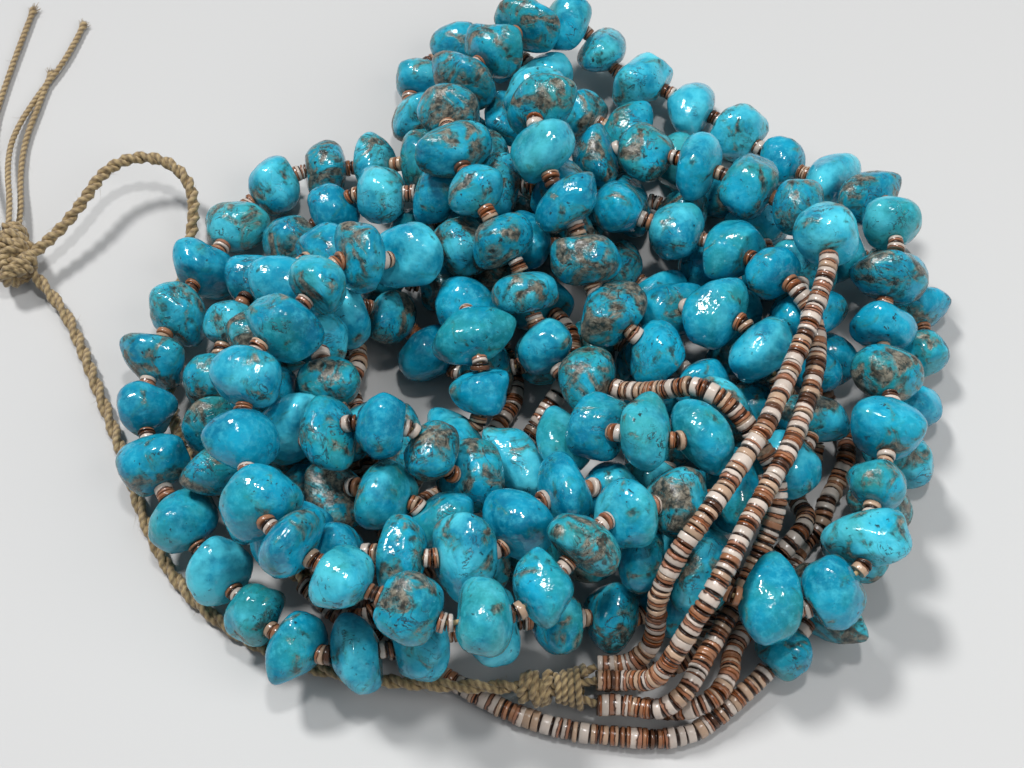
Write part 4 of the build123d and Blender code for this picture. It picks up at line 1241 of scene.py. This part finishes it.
class NECKLACE_OT_knot(bpy.types.Operator):
    """Replace the plain knot with tight turns of twisted twine"""
    bl_idname = "necklace.knot"
    bl_label = "Knot"

    # Direction of the knot on the floor in degrees; half length and radius of its core, radius of a ply
    # and length of a turn of two plies, in millimetres
    HEADING = 112
    CORE_HALF = 4.4
    CORE_RADIUS = 2.1
    PLY = 0.6
    PITCH = 4.6

    # Start and end along the knot, turns, distance from its axis, lean and phase, in millimetres and radians
    LOOPS = (
        (-5.4, 5.2, 5.2, 2.3, 0.4, 0.4),
        (-4.6, -3.4, 1.15, 3.0, 0.9, 0.2),
        (-2.2, -0.6, 1.2, 3.25, 1.4, 2.0),
        (0.2, 1.4, 1.15, 3.2, -1.2, 3.9),
        (2.6, 3.9, 1.2, 3.05, 0.8, 5.2),
        (3.2, -3.2, 0.75, 3.4, 0.3, 1.0),
        (-3.6, 2.8, 0.7, 3.4, 0.2, 3.6),
    )

    # Points in one turn, how far a turn swells in three waves, and its height as a share of its width
    TURN_POINTS = 26
    SWELL = 0.25
    FLATNESS = 0.92

    def execute(self, context):
        settings = context.scene.necklace_twine
        rope = Rope(settings, SEEDS["knot"])
        low, high = [np.array(corner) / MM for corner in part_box("knot")]
        centre = (low + high) / 2
        turn = math.radians(self.HEADING)
        heading = np.array([math.cos(turn), math.sin(turn), 0.0])
        side = np.cross(heading, UP)
        rope.ply(centre + np.linspace(-self.CORE_HALF, self.CORE_HALF, 20)[:, None] * heading,
                 self.CORE_RADIUS, 14)
        for start, end, turns, reach, lean, phase in self.LOOPS:
            shares = np.linspace(0, 1, int(self.TURN_POINTS * turns))
            angles = 2 * math.pi * turns * shares + phase
            along = start + (end - start) * shares + lean * np.cos(angles)
            out = reach + self.SWELL * np.sin(3 * angles + phase)
            line = (centre + along[:, None] * heading + (out * np.cos(angles))[:, None] * side
                    + (out * self.FLATNESS * np.sin(angles))[:, None] * UP)
            rope.twisted(line, self.PLY, self.PITCH, 10)
        rope.piece("twine_knot", twine_material(settings), ["knot"])
        return {"FINISHED"}


class NECKLACE_OT_wraps(bpy.types.Operator):
    """Replace the two plain wraps with lashings of twine"""
    bl_idname = "necklace.wraps"
    bl_label = "Wraps"

    # Along a wrap, in millimetres from its mouth: the cord in it, and the five plies that spread to the tails
    CORE = (-16, -6)
    PLIES = (-9, -0.15)

    # Distance of the five plies from the axis where they start, how much further they spread, over what
    # length and how suddenly
    NARROW = 0.75
    SPREAD = 2.74
    SPREAD_LENGTH = 10
    SPREAD_POWER = 2.2

    # Radius of the spreading plies and of the lashing, and length of a turn of two lashing plies
    PLY = 0.62
    LASHING = 0.56
    LASHING_PITCH = 4.4

    # The open coil round the spreading plies: start, length, turns, phase and distance from them, and the
    # depth and number of its waves
    COIL_START = -6.6
    COIL_LENGTH = 4.6
    COIL_TURNS = 4.1
    COIL_PHASE = 0.7
    COIL_REACH = 1.05
    COIL_WAVE = 0.12
    COIL_WAVES = 31

    # Start and end along the wrap, turns, phase, distance from its axis and lean, in millimetres and radians
    LOOPS = (
        (-12.0, -10.9, 1.1, 0.4, 1.75, 0.5),
        (-10.6, -9.2, 1.2, 2.4, 1.95, -0.7),
        (-8.9, -7.6, 1.1, 4.2, 1.9, 0.6),
        (-11.4, -8.2, 0.62, 0.9, 2.35, 0.2),
    )
    LOOP_POINTS = 60
    LOOP_SWELL = 0.15

    # Fibres of a wrap: turns for each millimetre, distance from the axis, reach and length
    FIBRE_TURN = 2.0
    FIBRE_PLACE = 1.2
    FIBRE_REACH = 1.0
    FIBRE_LENGTH = 2.0

    def fan(self, along):
        """Distance of the spreading plies from the axis."""
        share = np.clip((along + self.SPREAD_LENGTH) / self.SPREAD_LENGTH, 0, 1)
        return self.NARROW + self.SPREAD * share ** self.SPREAD_POWER

    def lash(self, rope, place):
        """All plies of one wrap; place gives points from lengths, angles and distances."""
        plies = np.linspace(*self.PLIES, 30)
        for seat in range(len(STRANDS)):
            angle = 2 * math.pi * seat / len(STRANDS) + math.pi / 2
            rope.ply(place(plies, np.full(30, angle), self.fan(plies)), self.PLY, 10)
        shares = np.linspace(0, 1, 190)
        coil = self.COIL_START + self.COIL_LENGTH * shares + self.COIL_WAVE * np.sin(self.COIL_WAVES * shares)
        angles = 2 * math.pi * self.COIL_TURNS * shares + self.COIL_PHASE
        rope.ply(place(coil, angles, self.fan(coil) + self.COIL_REACH), self.LASHING, 10)
        for start, end, turns, phase, out, lean in self.LOOPS:
            shares = np.linspace(0, 1, int(self.LOOP_POINTS * turns))
            angles = 2 * math.pi * turns * shares + phase
            along = start + (end - start) * shares + lean * np.cos(angles)
            reach = out + self.LOOP_SWELL * np.sin(2 * angles)
            rope.twisted(place(along, angles, reach), self.LASHING, self.LASHING_PITCH, 10)

    def execute(self, context):
        settings = context.scene.necklace_twine
        core = np.linspace(*self.CORE, 30)
        for number, (node, ends) in enumerate(WRAP_MOUTHS.items()):
            rope = Rope(settings, SEEDS["wraps"] + number)
            before, mouth = [np.array(end) + SHIFT for end in ends]
            heading = unit(mouth - before)
            side = unit(np.cross(UP, heading))
            rise = np.cross(heading, side)

            def place(along, angle, out):
                """Points at lengths along the wrap, and at angles and distances round it."""
                return (mouth + along[:, None] * heading + (out * np.cos(angle))[:, None] * side
                        + (out * np.sin(angle))[:, None] * rise)

            rope.twisted(mouth + core[:, None] * heading, settings.ply / MM, settings.pitch / MM)
            self.lash(rope, place)
            fibres = place(core, core * self.FIBRE_TURN, np.full(30, self.FIBRE_PLACE))
            rope.hairs(fibres, self.FIBRE_REACH, WRAP_HAIRS, self.FIBRE_LENGTH)
            rope.piece(f"twine_{node}", bpy.data.materials["Twine"], [node])
        return {"FINISHED"}


THREAD_ROUGHNESS = 0.7


class NECKLACE_OT_threads(bpy.types.Operator):
    """Give the threads of the five strands their finish"""
    bl_idname = "necklace.threads"
    bl_label = "Threads"

    def execute(self, context):
        thread = twine_material(context.scene.necklace_twine, "Thread", roughness=THREAD_ROUGHNESS)
        for strand in STRANDS:
            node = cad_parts[f"strand_{strand}_thread"]
            if not node.material_slots:
                node.data.materials.append(thread)
            for entry in node.material_slots:
                entry.material = thread
        return {"FINISHED"}


# Stage

# Half the side of the floor and how far it lies below the necklace, in metres
FLOOR_HALF = 1.6
FLOOR_DROP = 0.0002
SKY_TINT = (0.80, 0.86, 0.95, 1.0)


def aim(thing, place, target):
    """Put a lamp or the camera at its place and turn it to the target."""
    thing.location = place
    thing.rotation_euler = (target - thing.location).to_track_quat("-Z", "Y").to_euler()
    bpy.context.scene.collection.objects.link(thing)


def add_lamp(name, kind, place, power, target, glints=True, **details):
    """A lamp that shines at the target, with or without glints of its own on the stones."""
    light = bpy.data.lights.new(name, kind)
    light.energy = power
    for key, value in details.items():
        setattr(light, key, value)
    lamp = bpy.data.objects.new(name, light)
    lamp.visible_glossy = glints
    aim(lamp, Vector(place), target)


class NECKLACE_OT_stage(bpy.types.Operator):
    """Add the pale floor, the soft lights and the camera of the photograph's view"""
    bl_idname = "necklace.stage"
    bl_label = "Stage"

    def execute(self, context):
        settings = context.scene.necklace_stage
        mesh = bpy.data.meshes.new("floor")
        half = FLOOR_HALF
        corners = [(-half, -half, 0), (half, -half, 0), (half, half, 0), (-half, half, 0)]
        mesh.from_pydata(corners, [], [(0, 1, 2, 3)])
        mesh.materials.append(floor_material(settings))
        floor = bpy.data.objects.new("floor", mesh)
        floor.location.z = -FLOOR_DROP
        context.scene.collection.objects.link(floor)
        world = bpy.data.worlds.new("soft light")
        world.use_nodes = True
        world.node_tree.nodes["Background"].inputs["Color"].default_value = SKY_TINT
        world.node_tree.nodes["Background"].inputs["Strength"].default_value = settings.sky
        context.scene.world = world
        context.scene.view_settings.view_transform = "Standard"
        target = Vector((SHIFT[0] * MM, SHIFT[1] * MM, 0.0))
        add_lamp("key", "SUN", (-0.30, 0.28, 0.62), settings.key, target, angle=settings.sun_size)
        add_lamp("fill", "AREA", (0.45, -0.25, 0.5), settings.fill, target, glints=False,
                 shape="DISK", size=0.5)
        add_lamp("top", "AREA", (0.05, 0.05, 0.9), settings.top, target, shape="DISK", size=0.09)
        camera = bpy.data.cameras.new("camera")
        camera.lens = camera.sensor_width / 2 / math.tan(settings.view_width / 2)
        camera.clip_start = 0.01
        eye = bpy.data.objects.new("camera", camera)
        away = Vector((0, -math.cos(settings.elevation), math.sin(settings.elevation)))
        aim(eye, target + settings.distance * away, target)
        context.scene.camera = eye
        return {"FINISHED"}


class NECKLACE_PT_panel(bpy.types.Panel):
    """Buttons for each group of pieces"""
    bl_label = "Necklace"
    bl_idname = "NECKLACE_PT_panel"
    bl_space_type = "VIEW_3D"
    bl_region_type = "UI"
    bl_category = "Necklace"

    def draw(self, context):
        for operator in OPERATORS:
            self.layout.operator(operator.bl_idname)


GROUPS = {"necklace_nuggets": NECKLACE_PG_nuggets, "necklace_heishi": NECKLACE_PG_heishi,
          "necklace_twine": NECKLACE_PG_twine, "necklace_stage": NECKLACE_PG_stage}
OPERATORS = (NECKLACE_OT_stage, NECKLACE_OT_knot, NECKLACE_OT_cords, NECKLACE_OT_free_ends,
             NECKLACE_OT_wraps, NECKLACE_OT_threads, NECKLACE_OT_nuggets, NECKLACE_OT_spacers,
             NECKLACE_OT_tails)


def register():
    """Make the properties, the operators and the panel known."""
    for group in GROUPS.values():
        bpy.utils.register_class(group)
    for name, group in GROUPS.items():
        setattr(bpy.types.Scene, name, bpy.props.PointerProperty(type=group))
    for operator in OPERATORS:
        bpy.utils.register_class(operator)
    bpy.utils.register_class(NECKLACE_PT_panel)


def unregister():
    """Take the properties, the operators and the panel away again."""
    bpy.utils.unregister_class(NECKLACE_PT_panel)
    for operator in reversed(OPERATORS):
        bpy.utils.unregister_class(operator)
    for name, group in GROUPS.items():
        delattr(bpy.types.Scene, name)
        bpy.utils.unregister_class(group)


STONES = find_stones()
LINES = find_lines()


def main():
    """Make every piece and the stage."""
    register()
    for operator in OPERATORS:
        group, name = operator.bl_idname.split(".")
        getattr(getattr(bpy.ops, group), name)()


if __name__ == "__main__":
    main()
